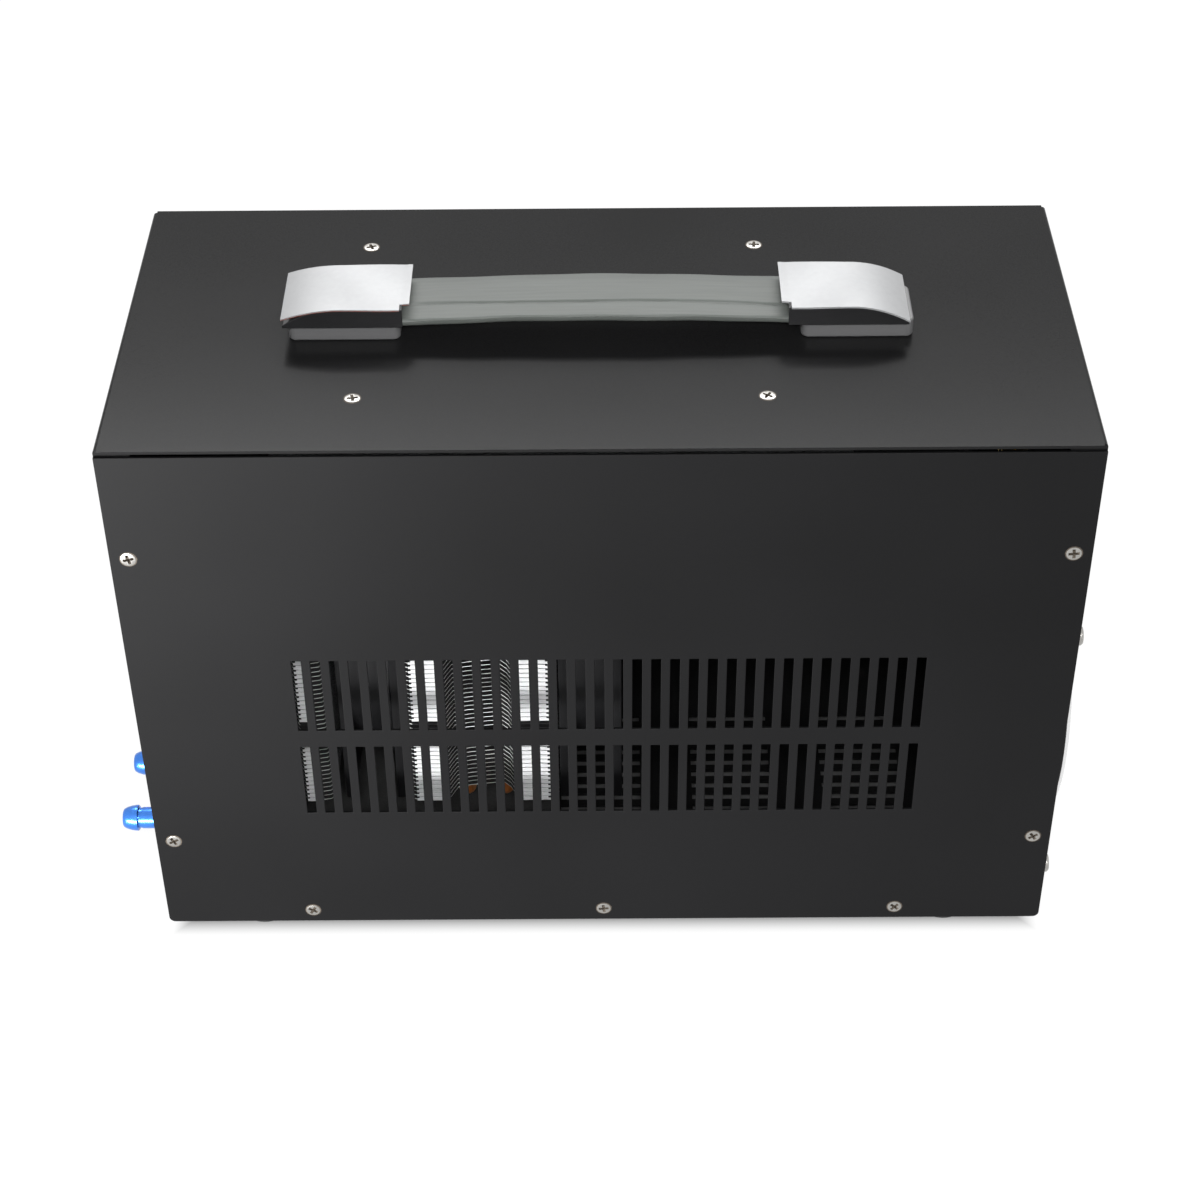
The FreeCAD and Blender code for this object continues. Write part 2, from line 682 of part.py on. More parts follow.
def make_floor_pan():
    """Floor with a turned-up flange behind each long panel, and three groups of vents."""
    body = new_body("pan_body")
    profile = new_sketch(body, "pan_profile", "YZ_Plane")
    edge = "panel_inside"
    inner = "panel_inside - sheet_thick"
    rim = "foot_height + flange_width"
    outline(profile, [
        (f"-({edge})", "foot_height"), (edge, "foot_height"), (edge, rim), (inner, rim),
        (inner, "floor_top"), (f"-({inner})", "floor_top"), (f"-({inner})", rim), (f"-({edge})", rim)])
    tray = pad(body, "pan_sheet", profile, "2 * wall_inside", both_ways=True)
    vents = new_sketch(body, "vent_outline", "XY_Plane")
    start = "-(vent_count - 1) * slot_pitch / 2"
    for step in (-1, 0, 1):
        middle = f"vent_middle + {step} * vent_group_pitch"
        rectangle(vents, f"{middle} - vent_length / 2", f"{start} - slot_width / 2",
                  f"{middle} + vent_length / 2", f"{start} + slot_width / 2")
    punched = pocket(body, "vents", vents, "foot_height + 3 * sheet_thick", backwards=True)
    row_of(body, "vent_rows", punched, vents, "V_Axis", "vent_count", "slot_pitch")
    holes = []
    low_spots = [spot for spot in panel_screw_spots() if "edge_screw_pitch" in spot[0]]
    holes += flange_windows("pan_window_slotted", low_spots, "-panel_inside")
    holes += flange_windows("pan_window_front", low_spots, "panel_inside")
    node("floor_pan", cut("floor_pan", body, holes))


def foot_spots():
    along = "(half_width - foot_inset_long)"
    across = "(half_depth - foot_inset_deep)"
    return [(f"{x} * {along}", f"{y} * {across}") for y in (-1, 1) for x in (-1, 1)]


def make_feet():
    """Rubber feet, narrower at the floor."""
    names = ("foot_left_slotted", "foot_right_slotted", "foot_left_front", "foot_right_front")
    for name, (x, y) in zip(names, foot_spots()):
        ends = []
        for end, radius, z in (("tread", "foot_dia / 2 - foot_taper", "0"),
                               ("top", "foot_dia / 2", "foot_height")):
            rim = doc.addObject("Part::RegularPolygon", f"{name}_{end}")
            rim.Polygon = FOOT_SIDES
            bind(rim, Circumradius=radius)
            put(rim, x, y, z)
            ends.append(rim)
        foot = doc.addObject("Part::Loft", name)
        foot.Sections = ends
        foot.Solid = True
        foot.Ruled = True
        node(name, foot)


# Handle

def make_handle_end(side, turn):
    """One end of the handle: grey block, plated cap with its boss, and the film on the cap."""
    block = new_body(f"block_{side}_body")
    put(block, f"block_{side}", "0", "case_top")
    foot_print = new_sketch(block, f"block_{side}_outline", "XY_Plane")
    rectangle(foot_print, "-block_length / 2", "-block_width / 2", "block_length / 2", "block_width / 2")
    slab = pad(block, f"block_{side}_slab", foot_print, "block_height")
    soften(block, f"block_{side}_corners", slab, "block_corner", Vector(0, 0, 1))
    hole = screw_hole(f"block_{side}_hole", "handle_screw_dia", "block_height + 2",
                      (f"block_{side}", "0", "case_top - 1"))
    node(f"handle_block_{side}", cut(f"handle_block_{side}", block, [hole]))

    cap = new_body(f"cap_{side}_body")
    put(cap, f"cap_{side}", "0", "block_top", turn)
    half = "cap_length / 2"
    tip = "cap_height - cap_drop"
    crown = "cap_length / 2 - cap_curve"
    shell = new_sketch(cap, f"cap_{side}_profile", "XZ_Plane")
    outline(shell, [(f"-{half}", "0"), (half, "0"), (half, "cap_height"),
                    (f"-({crown})", "cap_height"), (f"-{half}", tip)], {3: ("cap_arc", 1)})
    pad(cap, f"cap_{side}_solid", shell, "cap_width", both_ways=True)
    well = new_sketch(cap, f"cap_{side}_inside", "XZ_Plane")
    ceiling = "cap_height - cap_wall"
    outline(well, [("well_tip_x", "-1"), (f"{half} + 1", "-1"), (f"{half} + 1", ceiling),
                   (f"-({crown})", ceiling), ("well_tip_x", "well_tip_z")], {3: ("well_arc", 1)})
    pocket(cap, f"cap_{side}_hollow", well, "cap_width - 2 * cap_wall", both_ways=True)
    shift = f"block_{side} - cap_{side}" if side == "left" else f"cap_{side} - block_{side}"
    boss_sketch = new_sketch(cap, f"cap_{side}_boss_outline", "XY_Plane", "strap_thick")
    circle(boss_sketch, shift, "0", "boss_dia / 2")
    pad(cap, f"cap_{side}_boss", boss_sketch, "cap_height - strap_thick - cap_wall")
    bore = prism(f"cap_{side}_bore", SHANK_SIDES, "handle_screw_dia / 2", "cap_height - cap_wall",
                 (f"block_{side}", "0", "block_top"), "z")
    node(f"handle_cap_{side}", cut(f"handle_cap_{side}", cap, [bore]))

    film = new_body(f"cap_film_{side}")
    put(film, f"cap_{side}", "0", "block_top", turn)
    strip = new_sketch(film, f"film_{side}_profile", "XZ_Plane")
    end = "cap_length / 2 + film_overhang"
    outline(strip, [(f"-{half}", tip), (f"-({crown})", "cap_height"), (end, "cap_height"),
                    (end, "cap_height + film_thick"), (f"-({crown})", "cap_height + film_thick"),
                    ("film_tip_x", "film_tip_z")], {0: ("cap_arc", -1), 4: ("film_arc", 1)})
    pad(film, f"film_{side}_sheet", strip, "cap_width + 2 * film_overhang", both_ways=True)
    node(f"cap_film_{side}", film)


def make_strap():
    """Moulded strap, flat inside the caps and gently arched between them."""
    body = new_body("strap_body")
    put(body, "0", "0", "block_top")
    profile = new_sketch(body, "strap_profile", "XZ_Plane")
    top = "strap_thick"
    outline(profile, [
        ("-strap_reach", "0"), ("-strap_bend", "0"), ("0", "strap_rise"), ("strap_bend", "0"),
        ("strap_reach", "0"), ("strap_reach", top), ("strap_bend", top), ("0", f"{top} + strap_rise"),
        ("-strap_bend", top), ("-strap_reach", top)],
        {1: ("strap_arc", -1), 2: ("strap_arc", -1), 6: ("strap_arc", 1), 7: ("strap_arc", 1)})
    pad(body, "strap_sheet", profile, "strap_width", both_ways=True)
    holes = []
    for side in ("left", "right"):
        holes.append(screw_hole(f"strap_hole_{side}", "handle_screw_dia", "strap_thick + 2",
                                (f"block_{side}", "0", "block_top - 1")))
    node("handle_strap", cut("handle_strap", body, holes))


def make_handle_screws():
    screws = []
    for side in ("left", "right"):
        screws.append(headed_screw(
            f"handle_screw_{side}", (f"block_{side}", "0", "roof_under"), "z", "handle_head_dia",
            "handle_head_height", "handle_screw_dia", "sheet_thick + block_height + cap_height - cap_wall"))
    node("handle_screws", group("handle_screws", screws))


# Fans

def make_blade(name, root, reach, x, z, turn):
    """A flat blade from the hub outwards, pitched to the axis and turned about it."""
    plate = box(name, ("0", "0", "0"), ("blade_chord", f"{reach} - ({root})", "blade_thick"))
    pitch = "blade_pitch"
    back = f"(blade_chord * cos({pitch}) + blade_thick * sin({pitch})) / 2"
    rise = f"((blade_chord * sin({pitch}) - blade_thick * cos({pitch})) / 2)"
    put(plate, f"{x} + (fan_depth - fan_hub_plate - hub_gap + rotor_nose) / 2 - {back}",
        f"({root}) * cos({turn}) - {rise} * sin({turn})",
        f"{z} + ({root}) * sin({turn}) + {rise} * cos({turn})",
        Rotation(Vector(1, 0, 0), turn) * Rotation(Vector(0, 1, 0), number(pitch)))
    return plate


def make_rotor(name, bore, hub, blades, x, z):
    """Cup-shaped hub with its shaft and pitched blades, turning about X."""
    start = f"{x} + rotor_nose"
    depth = "fan_depth - fan_hub_plate - hub_gap - rotor_nose"
    root = f"{hub} / 2 - 3 * hub_wall"
    reach = f"sqrt(({bore} / 2 - blade_gap) ^ 2 - blade_half ^ 2)"
    pieces = [prism(name + "_hub", KNOB_SIDES, f"{hub} / 2", depth, (start, "0", z), "x")]
    for index in range(blades):
        pieces.append(make_blade(f"{name}_blade_{index + 1}", root, reach, x, z, 360 * index / blades))
    hollow = prism(name + "_hollow", KNOB_SIDES, f"{hub} / 2 - hub_wall", "fan_depth",
                   (f"{start} + hub_wall", "0", z), "x")
    cup = cut(name + "_cup", joined(name + "_bladed", pieces), [hollow])
    shaft = rod(name + "_shaft", "shaft_dia / 2", "fan_depth - rotor_nose - hub_wall / 2 - shaft_end",
                (f"{start} + hub_wall / 2", "0", z), "x")
    node(name, joined(name, [cup, shaft]))


def make_frame(name, size, bore, x, z, spots):
    """Square frame: two flanges on a round duct, with the motor's plate held by four struts."""
    flanges = []
    for step, start in enumerate((x, f"{x} + fan_depth - fan_flange"), start=1):
        flange = box(f"{name}_flange_{step}", (start, f"-{size} / 2", f"{z} - {size} / 2"),
                     ("fan_flange", size, size))
        flanges.append(flange)
    duct = prism(name + "_duct", DUCT_SIDES, f"{bore} / 2 + fan_wall", "fan_depth", (x, "0", z), "x")
    tools = [prism(name + "_bore", DUCT_SIDES, f"{bore} / 2", "fan_depth + 2", (f"{x} - 1", "0", z), "x")]
    for index, (y, height) in enumerate(spots, start=1):
        tools.append(prism(f"{name}_hole_{index}", HEAD_SIDES, "exhaust_hole / 2", "fan_depth + 2",
                           (f"{x} - 1", y, height), "x"))
    shell = cut(name + "_shell", joined(name + "_solid", flanges + [duct]), tools)
    plate = f"{x} + fan_depth - fan_hub_plate"
    hub = "exhaust_hub" if size == "exhaust_size" else "tower_fan_hub"
    carrier = [prism(name + "_plate", KNOB_SIDES, f"{hub} / 2", "fan_hub_plate", (plate, "0", z), "x")]
    carrier.append(prism(name + "_bearing", HEAD_SIDES, "bearing_dia / 2",
                         "fan_depth - hub_wall - bearing_back",
                         (f"{x} + hub_wall + bearing_back", "0", z), "x"))
    reach = f"({bore} + fan_wall)"
    carrier.append(box(name + "_strut_level", (plate, f"-{reach} / 2", f"{z} - fan_strut / 2"),
                       ("fan_hub_plate", reach, "fan_strut")))
    carrier.append(box(name + "_strut_upright", (plate, "-fan_strut / 2", f"{z} - {reach} / 2"),
                       ("fan_hub_plate", "fan_strut", reach)))
    bearing = rod(name + "_bearing_bore", "shaft_dia / 2 + shaft_play", "fan_depth + 2",
                  (f"{x} - 1", "0", z), "x")
    node(name, cut(name, joined(name + "_whole", [shell] + carrier), [bearing]))


def exhaust_screw_spots():
    half = "exhaust_span / 2"
    return [(f"{y} * {half}", f"exhaust_z + {z} * {half}") for y in (-1, 1) for z in (-1, 1)]


def make_exhaust_fan():
    make_frame("exhaust_fan_frame", "exhaust_size", "exhaust_bore", "exhaust_x", "exhaust_z",
               exhaust_screw_spots())
    make_rotor("exhaust_fan_rotor", "exhaust_bore", "exhaust_hub", 7, "exhaust_x", "exhaust_z")


def make_guard():
    """Wire guard: rings welded to four legs that step down to an eye at each fan screw."""
    ring_face = "half_width + guard_stand"
    pieces = []
    for step in range(3):
        radius = f"guard_radius - {step} * guard_pitch"
        middle = (ring_face, "0", "exhaust_z")
        outer = prism(f"guard_ring_outer_{step}", RING_SIDES, radius, "guard_wire", middle, "x")
        inner = prism(f"guard_ring_inner_{step}", RING_SIDES, f"{radius} - guard_wire", "guard_wire",
                      middle, "x")
        pieces.append(cut(f"guard_ring_{step}", outer, [inner]))
    knee = "guard_radius + guard_wire"
    eye = "exhaust_span / 2 * sqrt(2)"
    hub = "guard_radius - 2 * guard_pitch - guard_wire"
    for turn in (45, 135, 225, 315):
        spans = (("leg", f"{ring_face} - guard_wire", "guard_wire", hub, knee),
                 ("riser", "half_width", "guard_stand", f"{knee} - guard_wire", knee),
                 ("foot", "half_width", "guard_wire", f"{knee} - guard_wire", f"{eye} - guard_eye / 2 + 1"))
        for name, x, depth, start, end in spans:
            bar = box(f"guard_{name}_{turn}", ("0", "0", "0"), (depth, f"({end}) - ({start})", "guard_wire"))
            put(bar, x, f"({start}) * cos({turn}) + guard_wire / 2 * sin({turn})",
                f"exhaust_z + ({start}) * sin({turn}) - guard_wire / 2 * cos({turn})",
                Rotation(Vector(1, 0, 0), turn))
            pieces.append(bar)
        spot = ("half_width", f"{eye} * cos({turn})", f"exhaust_z + {eye} * sin({turn})")
        pieces.append(prism(f"guard_eye_{turn}", HEAD_SIDES, "guard_eye / 2", "guard_wire", spot, "x"))
    holes = []
    screws = []
    for index, (y, z) in enumerate(exhaust_screw_spots(), start=1):
        holes.append(prism(f"guard_eye_hole_{index}", HEAD_SIDES, "exhaust_hole / 2", "3 * guard_wire",
                           ("half_width - guard_wire", y, z), "x"))
        screws.append(headed_screw(
            f"guard_screw_{index}", ("half_width + guard_wire", y, z), "-x", "guard_head_dia",
            "guard_head_height", "guard_screw_dia", "guard_wire + sheet_thick + fan_flange"))
    node("finger_guard", cut("finger_guard", joined("guard_wires", pieces), holes))
    node("guard_screws", group("guard_screws", screws))


# Tower coolers

def make_fins(name, x):
    """Stack of pressed fins: hollowed ends, windows for the pipes and bands of folded tabs."""
    body = new_body(name + "_body")
    put(body, x, "0", "fin_z")
    half = "fin_width / 2"
    side = "fin_length / 2"
    mouth = "recess_mouth / 2"
    tabs = "recess_mouth / 2 + tab_width"
    quarter = [(side, half), (mouth, half), ("recess_floor / 2", f"{half} - recess_depth")]
    corners = [("", ""), ("-", ""), ("-", "-"), ("", "-")]
    points = []
    for turn, (sign_x, sign_y) in enumerate(corners):
        run = quarter if turn % 2 == 0 else quarter[::-1]
        points += [(f"{sign_x}({along})", f"{sign_y}({across})") for along, across in run]
    fin = new_sketch(body, name + "_outline", "XY_Plane")
    outline(fin, points)
    reach = "(pipe_leg_apart + pipe_dia) / 2"
    for sign in ("-", ""):
        middle = f"{sign}pipe_leg_deep"
        rectangle(fin, f"-{reach}", f"{middle} - pipe_dia / 2", reach, f"{middle} + pipe_dia / 2")
    first = pad(body, name + "_fin", fin, "fin_thick")
    bands = new_sketch(body, name + "_bands", "XY_Plane")
    for left, right in ((f"-({tabs})", f"-({mouth})"), (mouth, tabs)):
        rectangle(bands, left, f"-({half})", right, f"-({half}) + tab_thick")
        rectangle(bands, left, f"{half} - tab_thick", right, half)
    pad(body, name + "_tabs", bands, "stack_height")
    row_of(body, name + "_stack", first, fin, "N_Axis", "fin_count", "fin_pitch")
    node(name, body)


def make_heat_pipes(name, x):
    """Two pipes: level through the base, then splayed out to the fins' ends and up through them."""
    leg = number("pipe_leg_deep")
    level = leg - number("pipe_bend")
    bottom = number("fin_z - pipe_z")
    top = number("fin_z + stack_height + pipe_over - pipe_z")
    pipes = []
    for side in (-1, 1):
        outer = side * number("pipe_leg_apart") / 2
        inner = side * number("pipe_base_apart") / 2
        path = Part.makePolygon([
            Vector(outer, -leg, top), Vector(outer, -leg, bottom), Vector(inner, -level, 0),
            Vector(inner, level, 0), Vector(outer, leg, bottom), Vector(outer, leg, top)])
        ring = Part.Wire(Part.makePolygon([
            Vector(outer, -leg, top) + Rotation(Vector(0, 0, 1), 360 * step / PIPE_SIDES).multVec(
                Vector(number("pipe_dia / 2"), 0, 0)) for step in range(PIPE_SIDES + 1)]))
        pipes.append(path.makePipeShell([ring], True, False, 1))
    pair = doc.addObject("Part::Feature", name)
    pair.Shape = Part.makeCompound(pipes)
    put(pair, x, "0", "pipe_z")
    node(name, pair)


def make_cooler_base(name, x):
    slab = box(name + "_slab", (f"{x} - base_size / 2", "-base_size / 2", "base_z"),
               ("base_size", "base_size", "base_height"))
    channels = []
    for side in (-1, 1):
        start = (f"{x} + {side} * pipe_base_apart / 2", "-base_size / 2 - 1", "pipe_z")
        channels.append(prism(f"{name}_channel_{side + 1}", PIPE_SIDES,
                              f"pipe_dia / 2 / cos(180 / {PIPE_SIDES})", "base_size + 2", start, "y"))
    node(name, cut(name, slab, channels))


def make_tower_fans():
    for side in ("left", "right"):
        x = f"tower_fan_{side}_x"
        make_frame(f"tower_fan_{side}_frame", "tower_fan_size", "tower_fan_bore", x, "tower_fan_z", [])
        make_rotor(f"tower_fan_{side}_rotor", "tower_fan_bore", "tower_fan_hub", 7, x, "tower_fan_z")


# Cold side

def make_cold_side():
    """Water block on its foam pad, with foam above it and a module under each tower."""
    low = "cold_middle - cold_width / 2"
    node("insulation_pad", box("insulation_pad", ("block_x_start", low, "floor_top"),
                               ("cold_length", "cold_width", "pad_height")))
    ports = []
    for way in ("-", "+"):
        ports.append(rod(f"port_{way}", "barb_thread / 2", "barb_thread_length",
                         ("block_x_start", f"cold_middle {way} port_span / 2", "port_z"), "x"))
    slab = box("water_block_slab", ("block_x_start", low, "cold_z"),
               ("cold_length", "cold_width", "cold_height"))
    node("water_block", cut("water_block", slab, ports))
    openings = []
    for name, x in (("left", "tower_far"), ("right", "tower_near")):
        corner = (f"{x} - module_size / 2", "-module_size / 2", "cold_top")
        lengths = ("module_size", "module_size", "module_height")
        node(f"thermoelectric_module_{name}", box(f"thermoelectric_module_{name}", corner, lengths))
        openings.append(box(f"foam_opening_{name}", corner,
                            ("module_size", "module_size", "2 * module_height")))
    foam = box("foam_slab", ("block_x_start", low, "cold_top"),
               ("cold_length", "cold_width", "module_height"))
    node("insulation_sheet", cut("insulation_sheet", foam, openings))


def make_spigots():
    """Turned hose spigots: threaded root, collar, tube with one crest and a bore."""
    for name, way in (("hose_spigot_near", "-"), ("hose_spigot_far", "+")):
        body = new_body(name)
        put(body, "block_x_start", f"cold_middle {way} port_span / 2", "port_z", HALF_TURN)
        profile = new_sketch(body, name + "_profile", "XZ_Plane")
        outline(profile, [
            ("-barb_thread_length", "barb_bore / 2"), ("-barb_thread_length", "barb_thread / 2"),
            ("0", "barb_thread / 2"), ("0", "barb_collar / 2"), ("collar_length", "barb_collar / 2"),
            ("collar_length", "barb_tube / 2"), ("barb_crest_x", "barb_tube / 2"),
            ("barb_crest_x", "barb_crest / 2"), ("barb_nose", "barb_tip / 2"), ("barb_nose", "barb_bore / 2")])
        turned(body, name + "_turned", profile)
        node(name, body)


# Power supply

def make_power_supply():
    """Switched supply hung under the roof, a square spacer and a screw at each corner."""
    low = "supply_across - supply_width / 2"
    node("power_supply", box("power_supply", ("supply_middle - supply_length / 2", low, "supply_z"),
                             ("supply_length", "supply_width", "supply_height")))
    spacers = []
    screws = []
    for index, (x, y) in enumerate(supply_screw_spots(), start=1):
        block = box(f"spacer_block_{index}", (f"{x} - spacer_side / 2", f"{y} - spacer_side / 2", "supply_top"),
                    ("spacer_side", "spacer_side", "spacer_height"))
        hole = screw_hole(f"spacer_hole_{index}", "screw_dia", "3 * spacer_height",
                          (x, y, "supply_top - spacer_height"))
        spacers.append(cut(f"spacer_{index}", block, [hole]))
        screws.append(screw(f"roof_screw_{index}", (x, y, "case_top"), "-z"))
    node("supply_spacers", group("supply_spacers", spacers))
    node("roof_screws", group("roof_screws", screws))


# Thermostat

def centred(x, z, wide, tall):
    """The low corner of something centred on a point of the front panel."""
    return f"{x} - {wide} / 2", f"{z} - {tall} / 2"


def button_spots():
    return [f"stat_middle - button_start - {step} * button_pitch" for step in range(3)]


def make_thermostat():
    """Panel thermostat: face with a window and three buttons, a body and its board."""
    x, z = centred("stat_middle", "stat_z", "bezel_width", "bezel_height")
    face = box("bezel_plate", (x, "half_depth", z), ("bezel_width", "bezel_thick", "bezel_height"))
    x, z = centred("stat_middle", "stat_z", "stat_width", "stat_height")
    sleeve = box("stat_sleeve", (x, "half_depth - stat_depth", z), ("stat_width", "stat_depth", "stat_height"))
    inner = ("stat_width - 2 * stat_wall", "stat_depth + 1", "stat_height - 2 * stat_wall")
    inside = box("stat_inside", (f"{x} + stat_wall", "half_depth - stat_depth - 1", f"{z} + stat_wall"), inner)
    body = cut("stat_body", joined("stat_solid", [face, sleeve]), [inside])
    window_x = "stat_middle + window_shift"
    wide = "window_width + 2 * window_play"
    tall = "window_height + 2 * window_play"
    x, z = centred(window_x, "stat_z", f"({wide})", f"({tall})")
    holes = [box("window_opening", (x, "half_depth - 1", z), (wide, "bezel_thick + 2", tall))]
    for index, spot in enumerate(button_spots(), start=1):
        holes.append(prism(f"button_hole_{index}", KNOB_SIDES, "button_dia / 2 + button_play",
                           "bezel_thick + 2", (spot, "half_depth - 1", "stat_z"), "y"))
    node("thermostat_housing", cut("thermostat_housing", body, holes))
    x, z = centred(window_x, "stat_z", "window_width", "window_height")
    node("display_window", box("display_window", (x, "bezel_face - window_thick - window_play", z),
                               ("window_width", "window_thick", "window_height")))
    x, z = centred("stat_middle", "stat_z", "(stat_width - 2 * stat_wall)", "(stat_height - 2 * stat_wall)")
    board = [box("board_sheet", (x, "board_y - board_thick", z),
                 ("stat_width - 2 * stat_wall", "board_thick", "stat_height - 2 * stat_wall"))]
    for name, spot in zip(("button_set", "button_down", "button_up"), button_spots()):
        x, z = centred(spot, "stat_z", "switch_size", "switch_size")
        board.append(box(name + "_switch", (x, "board_y", z), ("switch_size", "switch_height", "switch_size")))
        rim = prism(name + "_rim", KNOB_SIDES, "button_flange / 2", "button_rim - button_end",
                    (spot, "button_end", "stat_z"), "y")
        cap = prism(name + "_cap", KNOB_SIDES, "button_dia / 2", "bezel_face + button_stand - button_end",
                    (spot, "button_end", "stat_z"), "y")
        node(name, joined(name, [rim, cap]))
    node("control_board", joined("control_board", board))


# Mains side

def make_rocker_switch():
    """Snap-in housing, and the rocker on its pin, tipped to off."""
    y, z = centred("rocker_y", "mains_z", "rocker_flange_wide", "rocker_flange_tall")
    rim = box("rocker_rim", ("half_width", y, z),
              ("rocker_flange_thick", "rocker_flange_wide", "rocker_flange_tall"))
    y, z = centred("rocker_y", "mains_z", "rocker_body_wide", "rocker_body_tall")
    inner = box("rocker_body", ("half_width - rocker_body_deep", y, z),
                ("rocker_body_deep", "rocker_body_wide", "rocker_body_tall"))
    y, z = centred("rocker_y", "mains_z", "rocker_well_wide", "rocker_well_tall")
    well = box("rocker_well", ("rocker_face - rocker_well_deep", y, z),
               ("rocker_well_deep + 1", "rocker_well_wide", "rocker_well_tall"))
    socket = rod("rocker_sockets", "pivot_dia / 2 + shaft_play", "pivot_length + 2 * shaft_play",
                 ("pivot_x", "rocker_y - pivot_length / 2 - shaft_play", "mains_z"), "y")
    node("rocker_housing", cut("rocker_housing", joined("rocker_case", [rim, inner]), [well, socket]))
    body = new_body("rocker_key")
    put(body, "pivot_x", "rocker_y", "mains_z", Rotation(Vector(0, 1, 0), number("rocker_tilt")))
    profile = new_sketch(body, "rocker_profile", "XZ_Plane")
    half = "rocker_tall / 2"
    outline(profile, [
        ("-rocker_back", f"-{half} + 1"), ("0", f"-{half}"), ("rocker_ear", f"-{half}"), ("rocker_waist", "0"),
        ("rocker_ear", half), ("0", half), ("-rocker_back", f"{half} - 1")])
    pad(body, "rocker_slab", profile, "rocker_wide", both_ways=True)
    pin = new_sketch(body, "rocker_pin_outline", "XZ_Plane")
    circle(pin, "0", "0", "pivot_dia / 2")
    pad(body, "rocker_pin", pin, "pivot_length", both_ways=True)
    node("rocker_key", body)


def make_inlet():
    """Snap-in mains inlet: a socket with two cut corners and three contact blades."""
    y, z = centred("inlet_y", "mains_z", "inlet_flange_wide", "inlet_flange_tall")
    rim = box("inlet_rim", ("half_width", y, z),
              ("inlet_flange_thick", "inlet_flange_wide", "inlet_flange_tall"))
    y, z = centred("inlet_y", "mains_z", "inlet_body_wide", "inlet_body_tall")
    inner = box("inlet_body", ("inlet_back", y, z), ("inlet_body_deep", "inlet_body_wide", "inlet_body_tall"))
    well = new_body("inlet_well_body")
    put(well, "inlet_face - inlet_well_deep", "inlet_y", "mains_z")
    mouth = new_sketch(well, "inlet_mouth", "YZ_Plane")
    wide = "inlet_well_wide / 2"
    tall = "inlet_well_tall / 2"
    cut_wide = "inlet_well_wide / 2 - inlet_chamfer"
    cut_tall = "inlet_well_tall / 2 - inlet_chamfer"
    outline(mouth, [(f"-({wide})", f"-({tall})"), (wide, f"-({tall})"), (wide, cut_tall), (cut_wide, tall),
                    (f"-({cut_wide})", tall), (f"-({wide})", cut_tall)])
    pad(well, "inlet_well", mouth, "inlet_well_deep + 1")
    blades = []
    passages = []
    for name, y, z in (("line", "inlet_y - contact_apart / 2", "mains_z - contact_offset / 2"),
                       ("neutral", "inlet_y + contact_apart / 2", "mains_z - contact_offset / 2"),
                       ("earth", "inlet_y", "mains_z + contact_offset / 2")):
        corner_y, corner_z = centred(y, z, "contact_wide", "contact_tall")
        corner = ("inlet_back - contact_tail", corner_y, corner_z)
        lengths = ("inlet_face - contact_sunk - inlet_back + contact_tail", "contact_wide", "contact_tall")
        blades.append(box(f"contact_{name}", corner, lengths))
        passages.append(box(f"passage_{name}", corner, lengths))
    node("inlet_socket", cut("inlet_socket", joined("inlet_case", [rim, inner]), [well] + passages))
    node("inlet_contacts", group("inlet_contacts", blades))


def make_parts():
    make_slotted_panel()
    make_front_panel()
    make_cover()
    make_floor_pan()
    make_feet()
    make_handle_end("left", Rotation())
    make_handle_end("right", HALF_TURN)
    make_strap()
    make_handle_screws()
    make_exhaust_fan()
    make_guard()
    for side, x in (("left", "tower_far"), ("right", "tower_near")):
        make_fins(f"fin_stack_{side}", x)
        make_heat_pipes(f"heat_pipes_{side}", x)
        make_cooler_base(f"cooler_base_{side}", x)
    make_tower_fans()
    make_cold_side()
    make_spigots()
    make_power_supply()
    make_thermostat()
    make_rocker_switch()
    make_inlet()


def check_document():
    """Stop where an object failed or a piece isn't a sound solid."""
    for item in doc.Objects:
        if "Invalid" in item.State or "Error" in item.State:
            raise RuntimeError(f"{item.Label} failed: {item.State}")
    for piece in nodes:
        if piece.Shape.isNull() or not piece.Shape.isValid() or not piece.Shape.Solids:
            raise RuntimeError(f"{piece.Label} is not a sound solid")


fill_sheet()
make_parts()
doc.recompute()
check_document()
os.makedirs("parts", exist_ok=True)
for piece in nodes:
    piece.Shape.exportStep(f"parts/{piece.Label}.step")
print(len(nodes), "nodes written")
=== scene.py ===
"""Finishes and fine pieces of an aquarium chiller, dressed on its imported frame."""

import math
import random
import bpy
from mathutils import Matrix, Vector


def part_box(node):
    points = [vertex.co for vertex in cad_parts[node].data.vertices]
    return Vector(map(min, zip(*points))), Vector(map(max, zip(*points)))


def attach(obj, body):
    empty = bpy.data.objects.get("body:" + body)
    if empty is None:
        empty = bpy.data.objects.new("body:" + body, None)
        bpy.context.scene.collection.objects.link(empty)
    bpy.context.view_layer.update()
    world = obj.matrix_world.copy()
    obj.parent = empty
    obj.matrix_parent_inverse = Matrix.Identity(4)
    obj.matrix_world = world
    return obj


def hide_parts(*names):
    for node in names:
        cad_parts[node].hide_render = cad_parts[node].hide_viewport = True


bl_info = {
    "name": "Aquarium chiller dressing",
    "version": (1, 0, 0),
    "blender": (4, 5, 0),
    "location": "3D View > Sidebar > Chiller",
    "description": "Finishes, fins, pipes, wires, screws and handle of an aquarium chiller",
    "category": "Object",
}

import bmesh
import bpy
from bmesh.types import BMEdge, BMFace, BMVert
from bpy.props import FloatProperty, FloatVectorProperty, IntProperty, PointerProperty
from mathutils import Matrix, Vector

